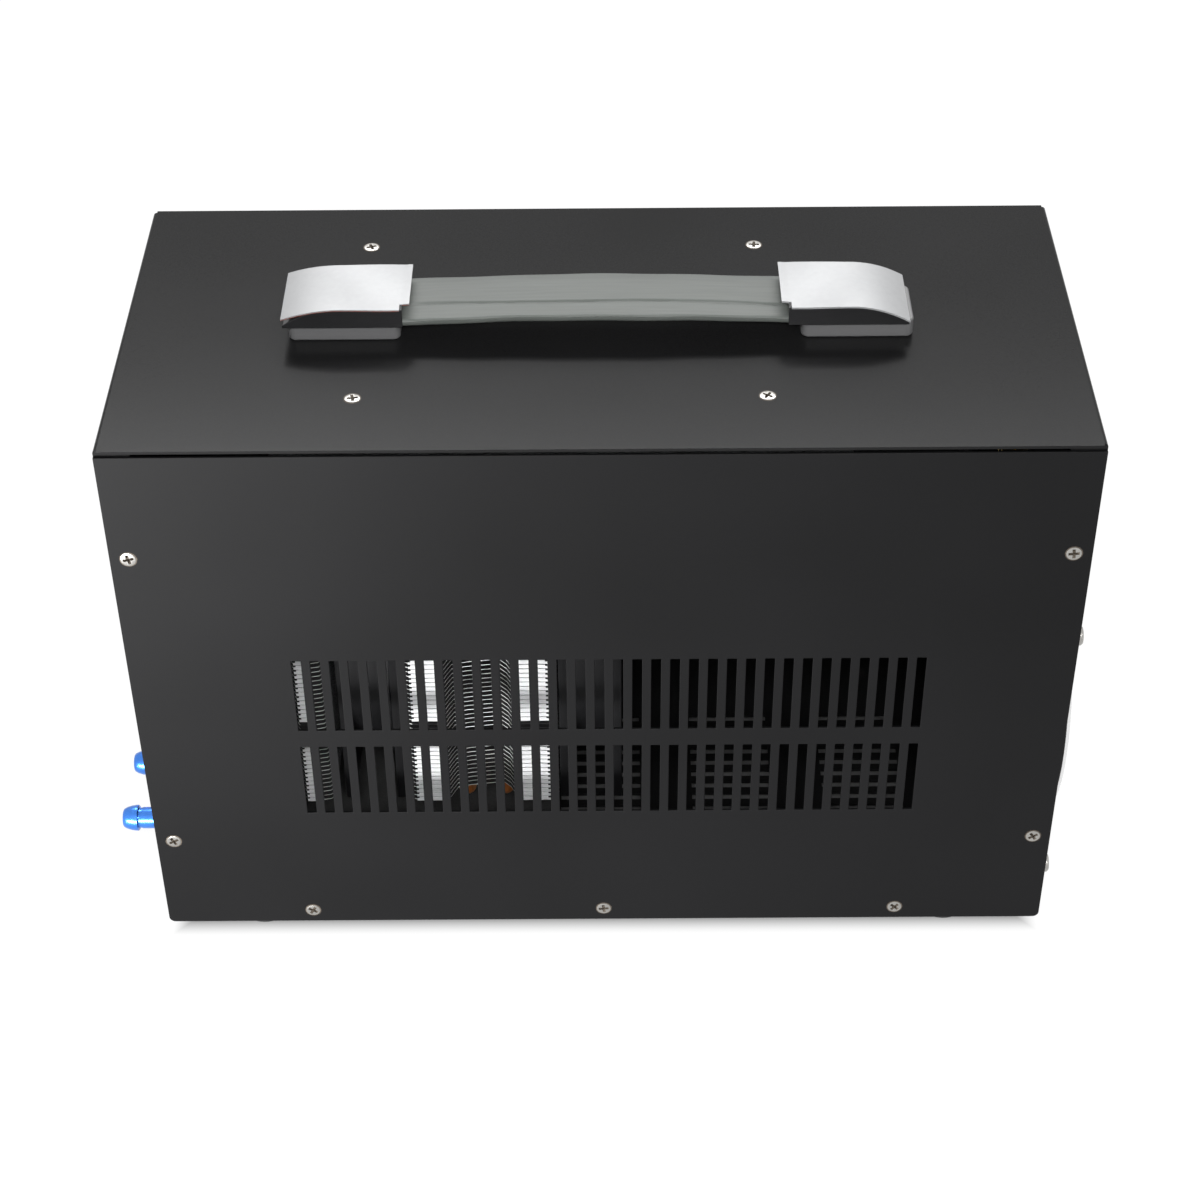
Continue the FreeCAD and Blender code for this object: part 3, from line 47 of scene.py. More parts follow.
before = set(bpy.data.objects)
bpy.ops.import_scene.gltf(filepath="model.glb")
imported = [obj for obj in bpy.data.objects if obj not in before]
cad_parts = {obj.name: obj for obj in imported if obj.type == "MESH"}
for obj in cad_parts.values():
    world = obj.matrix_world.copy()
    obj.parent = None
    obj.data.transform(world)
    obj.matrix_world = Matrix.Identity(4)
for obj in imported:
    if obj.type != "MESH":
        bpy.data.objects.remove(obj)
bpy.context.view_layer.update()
MM = 0.001
WELD = 0.001 * MM  # verts of a new piece that are closer than this become one
CAD_WELD = 0.002 * MM  # and so do verts of a CAD node
X, Y, Z = Vector((1, 0, 0)), Vector((0, 1, 0)), Vector((0, 0, 1))


# Sizes and colours: properties for a length in mm, a colour, an amount and an angle in degrees

def length(name, value, description):
    return FloatProperty(name=name, default=value * MM, min=0, unit="LENGTH", precision=5,
                         description=description)


def tint(name, value, description):
    return FloatVectorProperty(name=name, subtype="COLOR", default=value, min=0, max=1,
                               description=description)


def amount(name, value, description, **limits):
    return FloatProperty(name=name, default=value, min=0, description=description, **limits)


def degrees(name, value, description):
    return FloatProperty(name=name, default=math.radians(value), unit="ROTATION", description=description)


class ChillerSizes(bpy.types.PropertyGroup):
    """Sizes of the pieces that the frame leaves plain."""

    edge: length("Sheet edge", 0.25, "Rounding of the folded sheet's edges")
    moulded_edge: length("Moulded edge", 0.5, "Rounding of moulded plastic edges")
    recess: length("Screw recess", 4.1, "Span of the cross in a case screw")
    recess_deep: length("Recess depth", 1.2, "Depth of the cross")
    head_play: length("Screw head play", 0.22, "Shadow ring round a case screw's head")
    fin_pitch: length("Fin pitch", 2.3, "From one fin to the next")
    fin_thick: length("Fin thickness", 0.28, "Thickness of a fin and of its tabs")
    hollow_skew: FloatProperty(name="Hollow skew", default=0.12, description="Slope of a hollow's bottom")
    tab_gap: length("Tab gap", 0.42, "Joint between one tab and the next")
    tab_notch: length("Tab notch", 0.9, "Bite at a tab's ends")
    bare_low: length("Bare band start", 92, "Height where the tabs stop")
    bare_high: length("Bare band end", 100.5, "Height where the tabs go on")
    pipe_low: length("Pipes at the base", 15, "One pipe to the other inside the base")
    wire: length("Guard wire", 2.2, "Diameter of the guard's wire")
    guard_rings: IntProperty(name="Guard rings", default=8, min=2, description="Rings in the finger guard")
    strap_edge: length("Strap edge", 1.1, "Rounding of the strap's edges")
    film_thick: length("Film thickness", 0.7, "Thickness of the film and its glue on the caps")
    film_reach: length("Film overhang", 2.2, "How far the film passes the cap over the strap")


class ChillerColours(bpy.types.PropertyGroup):
    """Base colour of each finish."""

    coat: tint("Powder coat", (0.0060, 0.0060, 0.0062), "Textured black coat of the cover and pan")
    # Painted shade: the long panels' coat is the cover's black coat made darker still, for the shade on the
    # upright panels; its flatter sheen comes from its higher roughness.
    flat_coat: tint("Panel coat", (0.0026, 0.0026, 0.0028), "Flatter coat of the two long panels")
    nickel: tint("Nickel", (0.40, 0.39, 0.37), "Case screws")
    # Painted shade: the recess colour darkens the faces inside each cross recess, and the flat ring round a
    # case screw's head.
    recess: tint("Recess", (0.055, 0.045, 0.035), "Cross recesses and the gap round a screw")
    film: tint("Film", (0.325, 0.328, 0.334), "Pale film on the caps")
    cap: tint("Cap plating", (0.018, 0.018, 0.019), "End caps under their films")
    strap: tint("Strap", (0.074, 0.081, 0.075), "Moulded strap")
    block: tint("Handle block", (0.10, 0.10, 0.102), "Blocks under the caps")
    glue: tint("Glue line", (0.22, 0.06, 0.04), "Adhesive under the film's edge")
    rubber: tint("Rubber", (0.012, 0.012, 0.012), "Feet")
    fan: tint("Fan plastic", (0.005, 0.005, 0.0055), "Fan frames and rotors")
    wire: tint("Guard plating", (0.78, 0.78, 0.78), "Wire guard")
    # Painted shade: the fins' flats get a near-black colour for the shade that falls between them inside the
    # stack.
    fin: tint("Fin aluminium", (0.022, 0.022, 0.023), "Flats of the fins, dulled inside the stack")
    fin_edge: tint("Fin edges", (0.90, 0.91, 0.92), "Cut edges and folded tabs")
    copper: tint("Copper", (0.66, 0.22, 0.06), "Heat pipes and bases")
    machined: tint("Machined aluminium", (0.62, 0.63, 0.64), "Water block")
    foam: tint("Foam", (0.02, 0.02, 0.02), "Insulation")
    ceramic: tint("Ceramic", (0.8, 0.8, 0.77), "Thermoelectric modules")
    anodised: tint("Blue anodised", (0.050, 0.200, 0.66), "Hose spigots")
    supply: tint("Supply case", (0.5, 0.51, 0.52), "Power supply")
    nylon: tint("Nylon", (0.03, 0.03, 0.03), "Spacers")
    moulding: tint("Moulding", (0.014, 0.014, 0.015), "Thermostat, rocker and inlet")
    window: tint("Display window", (0.035, 0.004, 0.004), "Tinted window")
    segment: tint("Segments", (0.16, 0.03, 0.028), "Unlit figures in the window")
    button: tint("Buttons", (0.24, 0.24, 0.24), "Thermostat's buttons")
    print_white: tint("White marks", (0.7, 0.7, 0.7), "Printed signs")
    board: tint("Circuit board", (0.02, 0.12, 0.05), "Solder mask")
    contact: tint("Contacts", (0.72, 0.55, 0.25), "Inlet's blades")


class ChillerStudio(bpy.types.PropertyGroup):
    """Camera, lamps and ground."""

    lens: amount("Lens", 75.25, "Focal length on a 36 mm sensor, in mm")
    stand: FloatVectorProperty(name="Camera", subtype="TRANSLATION", unit="LENGTH", precision=5,
                               default=(0.00199, -0.79926, 0.77331), description="Place of the camera")
    pitch: degrees("Pitch", 39.621, "Tilt below level")
    yaw: degrees("Yaw", -0.196, "Turn towards +X")
    roll: degrees("Roll", -0.489, "Turn in the picture")
    key: amount("Key lamp", 11, "Power of the low lamp at the front left")
    front: amount("Front lamp", 13, "Power of the lamp above the camera")
    back: amount("Back lamp", 34, "Power of the lamp behind and above")
    fill: amount("Fill lamp", 6, "Power of the lamp at the right")
    ambient: amount("Ambient", 0.25, "Even light from all round")
    ground_glow: amount("Ground glow", 0.9, "Share of the ground's white that no shadow takes", max=1)


def sizes():
    return bpy.context.scene.chiller_sizes


def colour(name):
    return tuple(getattr(bpy.context.scene.chiller_colours, name)) + (1,)


# Finishes

def add_node(tree, kind, inputs=None, **settings):
    """Add a shader node, set it up, and give each input a value or a link."""
    node = tree.nodes.new("ShaderNode" + kind)
    for name, value in settings.items():
        setattr(node, name, value)
    for name, value in (inputs or {}).items():
        if isinstance(value, bpy.types.NodeSocket):
            tree.links.new(value, node.inputs[name])
        else:
            node.inputs[name].default_value = value
    return node


def maths(tree, operation, *values):
    """The result of a Math node for values or links."""
    return add_node(tree, "Math", dict(enumerate(values)), operation=operation).outputs["Value"]


def new_group(name, inputs, outputs):
    """A shader node group with its sockets, and its two end nodes."""
    group = bpy.data.node_groups.new(name, "ShaderNodeTree")
    for label, kind in inputs:
        group.interface.new_socket(label, in_out="INPUT", socket_type="NodeSocket" + kind)
    for label, kind in outputs:
        group.interface.new_socket(label, in_out="OUTPUT", socket_type="NodeSocket" + kind)
    return group, group.nodes.new("NodeGroupInput"), group.nodes.new("NodeGroupOutput")


def grain_group():
    """Fine grain over broad patches: a colour, a height and a roughness that change over the surface."""
    group, given, result = new_group(
        "Surface grain",
        [("Vector", "Vector"), ("Colour", "Color"), ("Shade", "Color"), ("Grain", "Float"),
         ("Patches", "Float"), ("Roughness", "Float"), ("Spread", "Float")],
        [("Colour", "Color"), ("Height", "Float"), ("Roughness", "Float")])
    fine = add_node(group, "TexNoise", {"Vector": given.outputs["Vector"], "Scale": given.outputs["Grain"],
                                        "Detail": 3, "Roughness": 0.6})
    broad = add_node(group, "TexNoise", {"Vector": given.outputs["Vector"],
                                         "Scale": given.outputs["Patches"], "Detail": 2})
    both = maths(group, "ADD", fine.outputs["Fac"], broad.outputs["Fac"])
    share = add_node(group, "MapRange", {"Value": both, "From Min": 0.75, "From Max": 1.25})
    blend = add_node(group, "Mix", {0: share.outputs["Result"], 6: given.outputs["Colour"],
                                    7: given.outputs["Shade"]}, data_type="RGBA")
    centred = maths(group, "SUBTRACT", broad.outputs["Fac"], 0.5)
    rough = maths(group, "MULTIPLY_ADD", centred, given.outputs["Spread"], given.outputs["Roughness"])
    group.links.new(blend.outputs[2], result.inputs["Colour"])
    group.links.new(fine.outputs["Fac"], result.inputs["Height"])
    group.links.new(rough, result.inputs["Roughness"])
    return group


# For each finish: shade of its second colour, roughness and its spread, metal, grain and patch sizes in mm,
# height of the grain in mm, stretch of the pattern along X, Y and Z, specular level and clear coat.
FINISHES = {
    "coat": (1.9, 0.23, 0.015, 0, 0.45, 140, 0.004, (1, 1, 1), 0.07, 0),
    # The panels' coat is rougher than the cover's, and its colour is painted darker for the shade on the
    # upright panels.
    "flat_coat": (1.9, 0.56, 0.02, 0, 0.45, 140, 0.012, (1, 1, 1), 0.10, 0),
    "nickel": (0.8, 0.30, 0.2, 1, 0.4, 3, 0.004, (1, 1, 1), 0.5, 0),
    "recess": (1.4, 0.6, 0.1, 0.4, 0.3, 3, 0.004, (1, 1, 1), 0.3, 0),
    "film": (0.93, 0.36, 0.06, 0.25, 2.5, 26, 0.004, (1, 1, 1), 0.4, 0),
    "cap": (1.25, 0.22, 0.1, 0.3, 0.8, 20, 0.003, (0.08, 1, 1), 0.4, 0.1),
    "strap": (1.25, 0.5, 0.12, 0, 1.2, 22, 0.03, (0.04, 1, 1), 0.36, 0),
    "block": (1.12, 0.42, 0.1, 0, 0.6, 12, 0.01, (0.2, 1, 1), 0.5, 0),
    "glue": (0.7, 0.5, 0, 0, 1, 6, 0.01, (1, 1, 1), 0.5, 0),
    "rubber": (1.6, 0.75, 0.1, 0, 0.5, 9, 0.03, (1, 1, 1), 0.4, 0),
    "fan": (1.5, 0.5, 0.1, 0, 0.5, 25, 0.015, (1, 1, 1), 0.2, 0),
    "wire": (0.9, 0.2, 0.1, 1, 1.2, 12, 0.004, (1, 1, 1), 0.5, 0),
    "fin": (1.3, 0.5, 0.1, 0, 0.8, 12, 0.008, (0.15, 1, 1), 0.2, 0),
    "fin_edge": (0.93, 0.42, 0.2, 0.1, 0.8, 9, 0.008, (0.15, 1, 1), 0.5, 0),
    "copper": (0.62, 0.42, 0.25, 0.55, 1.5, 9, 0.006, (1, 1, 0.3), 0.5, 0),
    "machined": (0.9, 0.36, 0.15, 1, 0.4, 20, 0.006, (0.08, 1, 1), 0.5, 0),
    "foam": (1.7, 0.85, 0.1, 0, 0.9, 12, 0.12, (1, 1, 1), 0.3, 0),
    "ceramic": (0.95, 0.5, 0.1, 0, 0.6, 10, 0.004, (1, 1, 1), 0.5, 0),
    "anodised": (0.8, 0.28, 0.1, 0.85, 0.5, 8, 0.004, (0.25, 1, 1), 0.5, 0.15),
    "supply": (0.88, 0.42, 0.2, 1, 2.5, 16, 0.01, (1, 1, 1), 0.5, 0),
    "nylon": (1.3, 0.5, 0.1, 0, 0.6, 6, 0.01, (1, 1, 1), 0.5, 0),
    "moulding": (1.4, 0.36, 0.08, 0, 0.35, 18, 0.012, (1, 1, 1), 0.5, 0),
    "window": (1.3, 0.08, 0.04, 0, 5, 25, 0.001, (1, 1, 1), 0.6, 0.6),
    "segment": (1.1, 0.4, 0, 0, 2, 9, 0.001, (1, 1, 1), 0.4, 0),
    "button": (1.12, 0.45, 0.1, 0, 0.3, 4, 0.01, (1, 1, 1), 0.5, 0),
    "print_white": (0.95, 0.5, 0.05, 0, 0.3, 4, 0.002, (1, 1, 1), 0.5, 0),
    "board": (1.3, 0.35, 0.1, 0, 0.8, 6, 0.004, (1, 1, 1), 0.5, 0.3),
    "contact": (0.85, 0.25, 0.1, 1, 0.6, 5, 0.003, (0.2, 1, 1), 0.5, 0),
}


def finish(name):
    """The material of a finish, made the first time that it is asked for."""
    known = bpy.data.materials.get("Chiller " + name)
    if known:
        return known
    shade, rough, spread, metal, grain, patches, depth, stretch, specular, clear = FINISHES[name]
    material = bpy.data.materials.new("Chiller " + name)
    material.use_nodes = True
    tree = material.node_tree
    shader = tree.nodes["Principled BSDF"]
    base = colour(name)
    material.diffuse_color = base
    place = add_node(tree, "TexCoord")
    pattern = add_node(tree, "Mapping", {"Vector": place.outputs["Object"], "Scale": stretch})
    grains = bpy.data.node_groups.get("Surface grain") or grain_group()
    group = add_node(tree, "Group", node_tree=grains)
    tree.links.new(pattern.outputs["Vector"], group.inputs["Vector"])
    second = [min(1, part * shade) for part in base[:3]] + [1]
    for label, value in (("Colour", base), ("Shade", second), ("Grain", 1 / (grain * MM)),
                         ("Patches", 1 / (patches * MM)), ("Roughness", rough), ("Spread", spread)):
        group.inputs[label].default_value = value
    bump = add_node(tree, "Bump", {"Height": group.outputs["Height"], "Strength": 1, "Distance": depth * MM})
    tree.links.new(group.outputs["Colour"], shader.inputs["Base Color"])
    tree.links.new(group.outputs["Roughness"], shader.inputs["Roughness"])
    tree.links.new(bump.outputs["Normal"], shader.inputs["Normal"])
    shader.inputs["Metallic"].default_value = metal
    shader.inputs["Specular IOR Level"].default_value = specular
    shader.inputs["Coat Weight"].default_value = clear
    shader.inputs["Coat Roughness"].default_value = 0.12
    return material


def paint(name, *nodes):
    """Give CAD nodes that keep their own shape a finish."""
    for node in nodes:
        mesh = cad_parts[node].data
        mesh.materials.clear()
        mesh.materials.append(finish(name))


# Making pieces

def only(items, kind):
    """The items of one kind among verts, edges and faces."""
    return [item for item in items if isinstance(item, kind)]


def whole(bm):
    return bm.verts[:] + bm.edges[:] + bm.faces[:]


def placed(name, data):
    """A new object in the scene."""
    thing = bpy.data.objects.new(name, data)
    bpy.context.scene.collection.objects.link(thing)
    return thing


def add_piece(name, bm, finishes, body="case", nodes=(), slot=None, crease=32, weighted=False):
    """Turn a bmesh into a piece that rides on a body and may stand for CAD nodes."""
    bmesh.ops.remove_doubles(bm, verts=bm.verts, dist=WELD)
    bmesh.ops.recalc_face_normals(bm, faces=bm.faces)
    mesh = bpy.data.meshes.new(name)
    bm.to_mesh(mesh)
    bm.free()
    for label in finishes:
        mesh.materials.append(finish(label))
    mesh.shade_smooth()
    mesh.set_sharp_from_angle(angle=math.radians(crease))
    thing = placed(name, mesh)
    if weighted:
        thing.modifiers.new("Flat faces", "WEIGHTED_NORMAL").keep_sharp = True
    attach(thing, body)
    if nodes:
        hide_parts(*nodes)


def dressed(node, bm, finishes, slot, body="case", **more):
    """A piece that stands for one CAD node and is named after it."""
    add_piece(node + "_dressed", bm, finishes, body, [node], slot, **more)


def cad_copy(node):
    """A CAD node's mesh with its loose triangles joined."""
    bm = bmesh.new()
    bm.from_mesh(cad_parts[node].data)
    bmesh.ops.remove_doubles(bm, verts=bm.verts, dist=CAD_WELD)
    return bm


def face_centre(low, high, line, end):
    """The middle of a box's low (0) or high (1) face along axis 0, 1 or 2."""
    centre = (low + high) / 2
    centre[line] = (low, high)[end][line]
    return centre


def rounded(bm, edges, offset, segments, clamp=False):
    bmesh.ops.bevel(bm, geom=edges, offset=offset, offset_type="OFFSET", segments=segments, affect="EDGES",
                    profile=0.5, material=-1, clamp_overlap=clamp)


def softened(node, label, edge, body="case", segments=2, slot=None, sharper=40):
    """A CAD node's own form, rounded at edges that turn by more than some degrees."""
    bm = cad_copy(node)
    bmesh.ops.dissolve_limit(bm, angle_limit=math.radians(1), verts=bm.verts, edges=bm.edges)
    corner = math.radians(sharper)
    edges = [item for item in bm.edges if item.is_manifold and item.calc_face_angle(0) > corner]
    rounded(bm, edges, edge, segments, True)
    dressed(node, bm, [label], slot, body, crease=50, weighted=True)


def mark(bm, known, index):
    """Give all faces but the known ones the finish at an index, unless theirs is higher."""
    for face in bm.faces:
        if face not in known:
            face.material_index = max(index, face.material_index)


def spun(bm, geom, centre, axis, steps):
    """Turn verts and edges all the way round an axis."""
    bmesh.ops.spin(bm, geom=geom, cent=centre, axis=axis, angle=math.tau, steps=steps, use_merge=True,
                   use_duplicate=False)


def lathe(bm, profile, centre, axis, steps=40):
    """Turn a profile of distances along an axis and off it."""
    centre, axis = Vector(centre), Vector(axis).normalized()
    side = axis.orthogonal().normalized()
    verts = [bm.verts.new(centre + axis * along + side * off) for along, off in profile]
    edges = [bm.edges.new(pair) for pair in zip(verts, verts[1:])]
    spun(bm, verts + edges, centre, axis, steps)


def rod(bm, centre, axis, start, end, radius, steps=14):
    """A closed rod from one distance along an axis to another."""
    lathe(bm, [(start, 0), (start, radius), (end, radius), (end, 0)], centre, axis, steps)


def facing(centre, axis):
    """A place at a centre, with its Z along an axis."""
    return Matrix.Translation(centre) @ Z.rotation_difference(Vector(axis)).to_matrix().to_4x4()


def ring(bm, radius, sides, place, fill=False):
    """The verts and the edges of a circle round a place's Z."""
    verts = bmesh.ops.create_circle(bm, cap_ends=fill, radius=radius, segments=sides, matrix=place)["verts"]
    members = set(verts)
    edges = dict.fromkeys(edge for vert in verts for edge in vert.link_edges)
    return verts, [edge for edge in edges if members.issuperset(edge.verts)]


def ring_verts(edges):
    return list(dict.fromkeys(vert for edge in edges for vert in edge.verts))


def pushed(bm, edges, move):
    """Extrude a ring of edges and move the new ring."""
    made = bmesh.ops.extrude_edge_only(bm, edges=edges)["geom"]
    verts = only(made, BMVert)
    bmesh.ops.translate(bm, verts=verts, vec=move)
    fresh = set(verts)
    return [edge for edge in only(made, BMEdge) if fresh.issuperset(edge.verts)]


def resized(bm, edges, middle, factor):
    """Scale a ring of edges about a point."""
    bmesh.ops.scale(bm, verts=ring_verts(edges), vec=(factor, factor, factor),
                    space=Matrix.Translation(-middle))


def extruded(bm, faces, move, keep=True):
    """Extrude faces, move their copy and give its faces."""
    made = bmesh.ops.extrude_face_region(bm, geom=faces, use_keep_orig=keep)["geom"]
    bmesh.ops.translate(bm, verts=only(made, BMVert), vec=move)
    return only(made, BMFace)


def copied(bm, geom):
    """Duplicate a part of a mesh and give the copy's verts."""
    return only(bmesh.ops.duplicate(bm, geom=geom)["geom"], BMVert)


def tube(bm, radius, points, bend, sides=16, steps=8):
    """A round bar along straight runs, with a bend at each corner."""
    points = [Vector(point) for point in points]
    at = points[0]
    edges = ring(bm, radius, sides, facing(at, (points[1] - at).normalized()), True)[1]
    for before, corner, after in zip(points, points[1:], points[2:]):
        entering, leaving = (corner - before).normalized(), (after - corner).normalized()
        angle = entering.angle(leaving)
        reach = bend * math.tan(angle / 2)
        start = corner - entering * reach
        edges = pushed(bm, edges, start - at)
        axis = entering.cross(leaving).normalized()
        last = bmesh.ops.spin(bm, geom=ring_verts(edges) + edges, cent=start + axis.cross(entering) * bend,
                              axis=axis, angle=angle, steps=steps, use_merge=False,
                              use_duplicate=False)["geom_last"]
        edges = only(last, BMEdge)
        at = corner + leaving * reach
    edges = pushed(bm, edges, points[-1] - at)
    bmesh.ops.edgeloop_fill(bm, edges=edges)


def hoop(bm, radius, wire, centre, axis, sides=10, steps=72):
    """A closed ring of round wire."""
    centre, axis = Vector(centre), Vector(axis).normalized()
    side = axis.orthogonal().normalized()
    verts, edges = ring(bm, wire, sides, facing(centre + side * radius, axis.cross(side)))
    spun(bm, verts + edges, centre, axis, steps)


def slab(bm, low, high, edge, segments):
    """A block between two corners, with its edges rounded."""
    low, high = Vector(low), Vector(high)
    verts = bmesh.ops.create_cube(bm, size=1)["verts"]
    bmesh.ops.scale(bm, verts=verts, vec=high - low)
    bmesh.ops.translate(bm, verts=verts, vec=(low + high) / 2)
    rounded(bm, list(dict.fromkeys(item for vert in verts for item in vert.link_edges)), edge, segments)


def cut(bm, point, across):
    """Cut all faces along a plane and keep both sides."""
    bmesh.ops.bisect_plane(bm, geom=whole(bm), plane_co=point, plane_no=across)


def plate(bm, corners, thickness):
    """A flat plate from its outline, thickened along a vector."""
    face = bm.faces.new([bm.verts.new(Vector(corner)) for corner in corners])
    extruded(bm, [face], thickness)


# Screws

CROSS_ARM = 0.14  # half the width of a recess's arm, by the span of the cross
CROSS_FLOOR = 0.55  # the recess's floor by its mouth
CROWN = 0.86  # the flat top of a head by the head's width
SHOULDER = 0.55  # height of a head's widest ring by the dome's
COLLAR = 1 * MM  # how far a head goes down behind its seat


def screw_head(bm, centre, axis, radius, dome, cross, depth, turn, recess=1):
    """A screw's head standing out along an axis, with a cross recess in the finish at an index."""
    place = facing(centre, axis) @ Matrix.Rotation(turn, 4, "Z")
    up = place.to_3x3() @ Z
    arm, half = cross / 2, cross * CROSS_ARM
    corners = []
    for quarter in range(4):
        spin = Matrix.Rotation(quarter * math.pi / 2, 4, "Z")
        corners += [spin @ Vector(corner) for corner in ((arm, -half, 0), (arm, half, 0), (half, half, 0))]
    crown = place @ Matrix.Translation((0, 0, dome))
    inner = [bm.verts.new(crown @ corner) for corner in corners]
    inner_edges = [bm.edges.new(pair) for pair in zip(inner, inner[1:] + inner[:1])]
    outer_edges = ring(bm, radius * CROWN, 28, crown)[1]
    bmesh.ops.triangle_fill(bm, use_beauty=True, use_dissolve=False, edges=inner_edges + outer_edges)
    plain = set(bm.faces)
    floor = pushed(bm, inner_edges, up * -depth)
    resized(bm, floor, place @ Vector((0, 0, dome - depth)), CROSS_FLOOR)
    bmesh.ops.edgeloop_fill(bm, edges=floor)
    # The recess's faces take the finish at the index, a dark colour that is painted shade in the cross.
    mark(bm, plain, recess)
    rim = pushed(bm, outer_edges, up * dome * (SHOULDER - 1))
    resized(bm, rim, place @ Vector((0, 0, dome * SHOULDER)), 1 / CROWN)
    lower = pushed(bm, rim, up * (-dome * SHOULDER - COLLAR))
    bmesh.ops.edgeloop_fill(bm, edges=lower)


def screw_places(node):
    """The box of each separate screw in a CAD node, in a fixed order."""
    bm = cad_copy(node)
    waiting, places = set(bm.verts), []
    while waiting:
        seen, queue = set(), [waiting.pop()]
        while queue:
            vert = queue.pop()
            seen.add(vert)
            others = [edge.other_vert(vert) for edge in vert.link_edges]
            queue += [other for other in others if other not in seen]
        waiting -= seen
        places.append(tuple(Vector([pick(vert.co[line] for vert in seen) for line in range(3)])
                            for pick in (min, max)))
    bm.free()
    return sorted(places, key=lambda place: tuple(round(part, 4) for part in place[0]))


class CHILLER_OT_screws(bpy.types.Operator):
    """Case screws with domed heads and cross recesses"""

    bl_idname = "chiller.screws"
    bl_label = "Screws"

    def execute(self, context):
        dice = random.Random(7)
        play = sizes().head_play
        dome, shank, seat, tip = 0.28 * MM, 1.5 * MM, -1.1 * MM, -6.2 * MM
        behind, proud = -0.2 * MM, 0.03 * MM
        face = {"slotted_panel_screws": (-Y, 1, 0), "front_panel_screws": (Y, 1, 1), "roof_screws": (Z, 2, 1)}
        for node, (axis, line, end) in face.items():
            bm = bmesh.new()
            for low, high in screw_places(node):
                centre = face_centre(low, high, line, end)
                radius = max(high[side] - low[side] for side in range(3) if side != line) / 2
                screw_head(bm, centre, axis, radius - play, dome, sizes().recess, sizes().recess_deep,
                           dice.uniform(0, math.pi / 2))
                rod(bm, centre, axis, seat, tip, shank)
                metal = set(bm.faces)
                # Painted shadow: a flat ring in the dark recess finish, just proud of the panel round each
                # head, stands for the shade in the gap round the head.
                inside, outside = radius - 2 * play, radius + play
                gap = [(behind, inside), (proud, inside), (proud, outside), (behind, outside)]
                lathe(bm, gap + gap[:1], centre, axis, 28)
                mark(bm, metal, 1)
            dressed(node, bm, ["nickel", "recess"], "bright_screw", crease=28)
        return {"FINISHED"}


# Case

class CHILLER_OT_case(bpy.types.Operator):
    """Powder-coated cover, pan and panels"""

    bl_idname = "chiller.case"
    bl_label = "Case"

    def execute(self, context):
        # The two long panels take the darker panel coat, whose colour is painted shade.
        for node, label in (("cover", "coat"), ("slotted_panel", "flat_coat"), ("front_panel", "flat_coat")):
            softened(node, label, sizes().edge, slot="powder_coat")
        paint("coat", "floor_pan")
        return {"FINISHED"}


# A foot from the middle of its well outwards: shares of its height and of its half width.
FOOT = [(0.55, 0), (0.55, 0.2), (0.5, 0.36), (0.06, 0.38), (0, 0.42), (0, 0.80), (0.04, 0.85), (0.12, 0.88),
        (0.9, 0.98), (0.97, 1), (1, 0.99), (1, 0)]


class CHILLER_OT_feet(bpy.types.Operator):
    """Turned rubber feet with a well for a screw"""

    bl_idname = "chiller.feet"
    bl_label = "Feet"

    def execute(self, context):
        for node in ("foot_left_slotted", "foot_right_slotted", "foot_left_front", "foot_right_front"):
            low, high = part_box(node)
            wide, tall = (high.x - low.x) / 2, high.z - low.z
            centre = face_centre(low, high, 2, 0)
            bm = bmesh.new()
            lathe(bm, [(up * tall, out * wide) for up, out in FOOT], centre, Z, 48)
            rubber = set(bm.faces)
            screw_head(bm, centre + Z * 0.5 * tall, -Z, radius=3.4 * MM, dome=0.9 * MM, cross=3.2 * MM,
                       depth=1 * MM, turn=0.4, recess=2)
            mark(bm, rubber, 1)
            dressed(node, bm, ["rubber", "nickel", "recess"], "foot_rubber")
        return {"FINISHED"}


# Handle

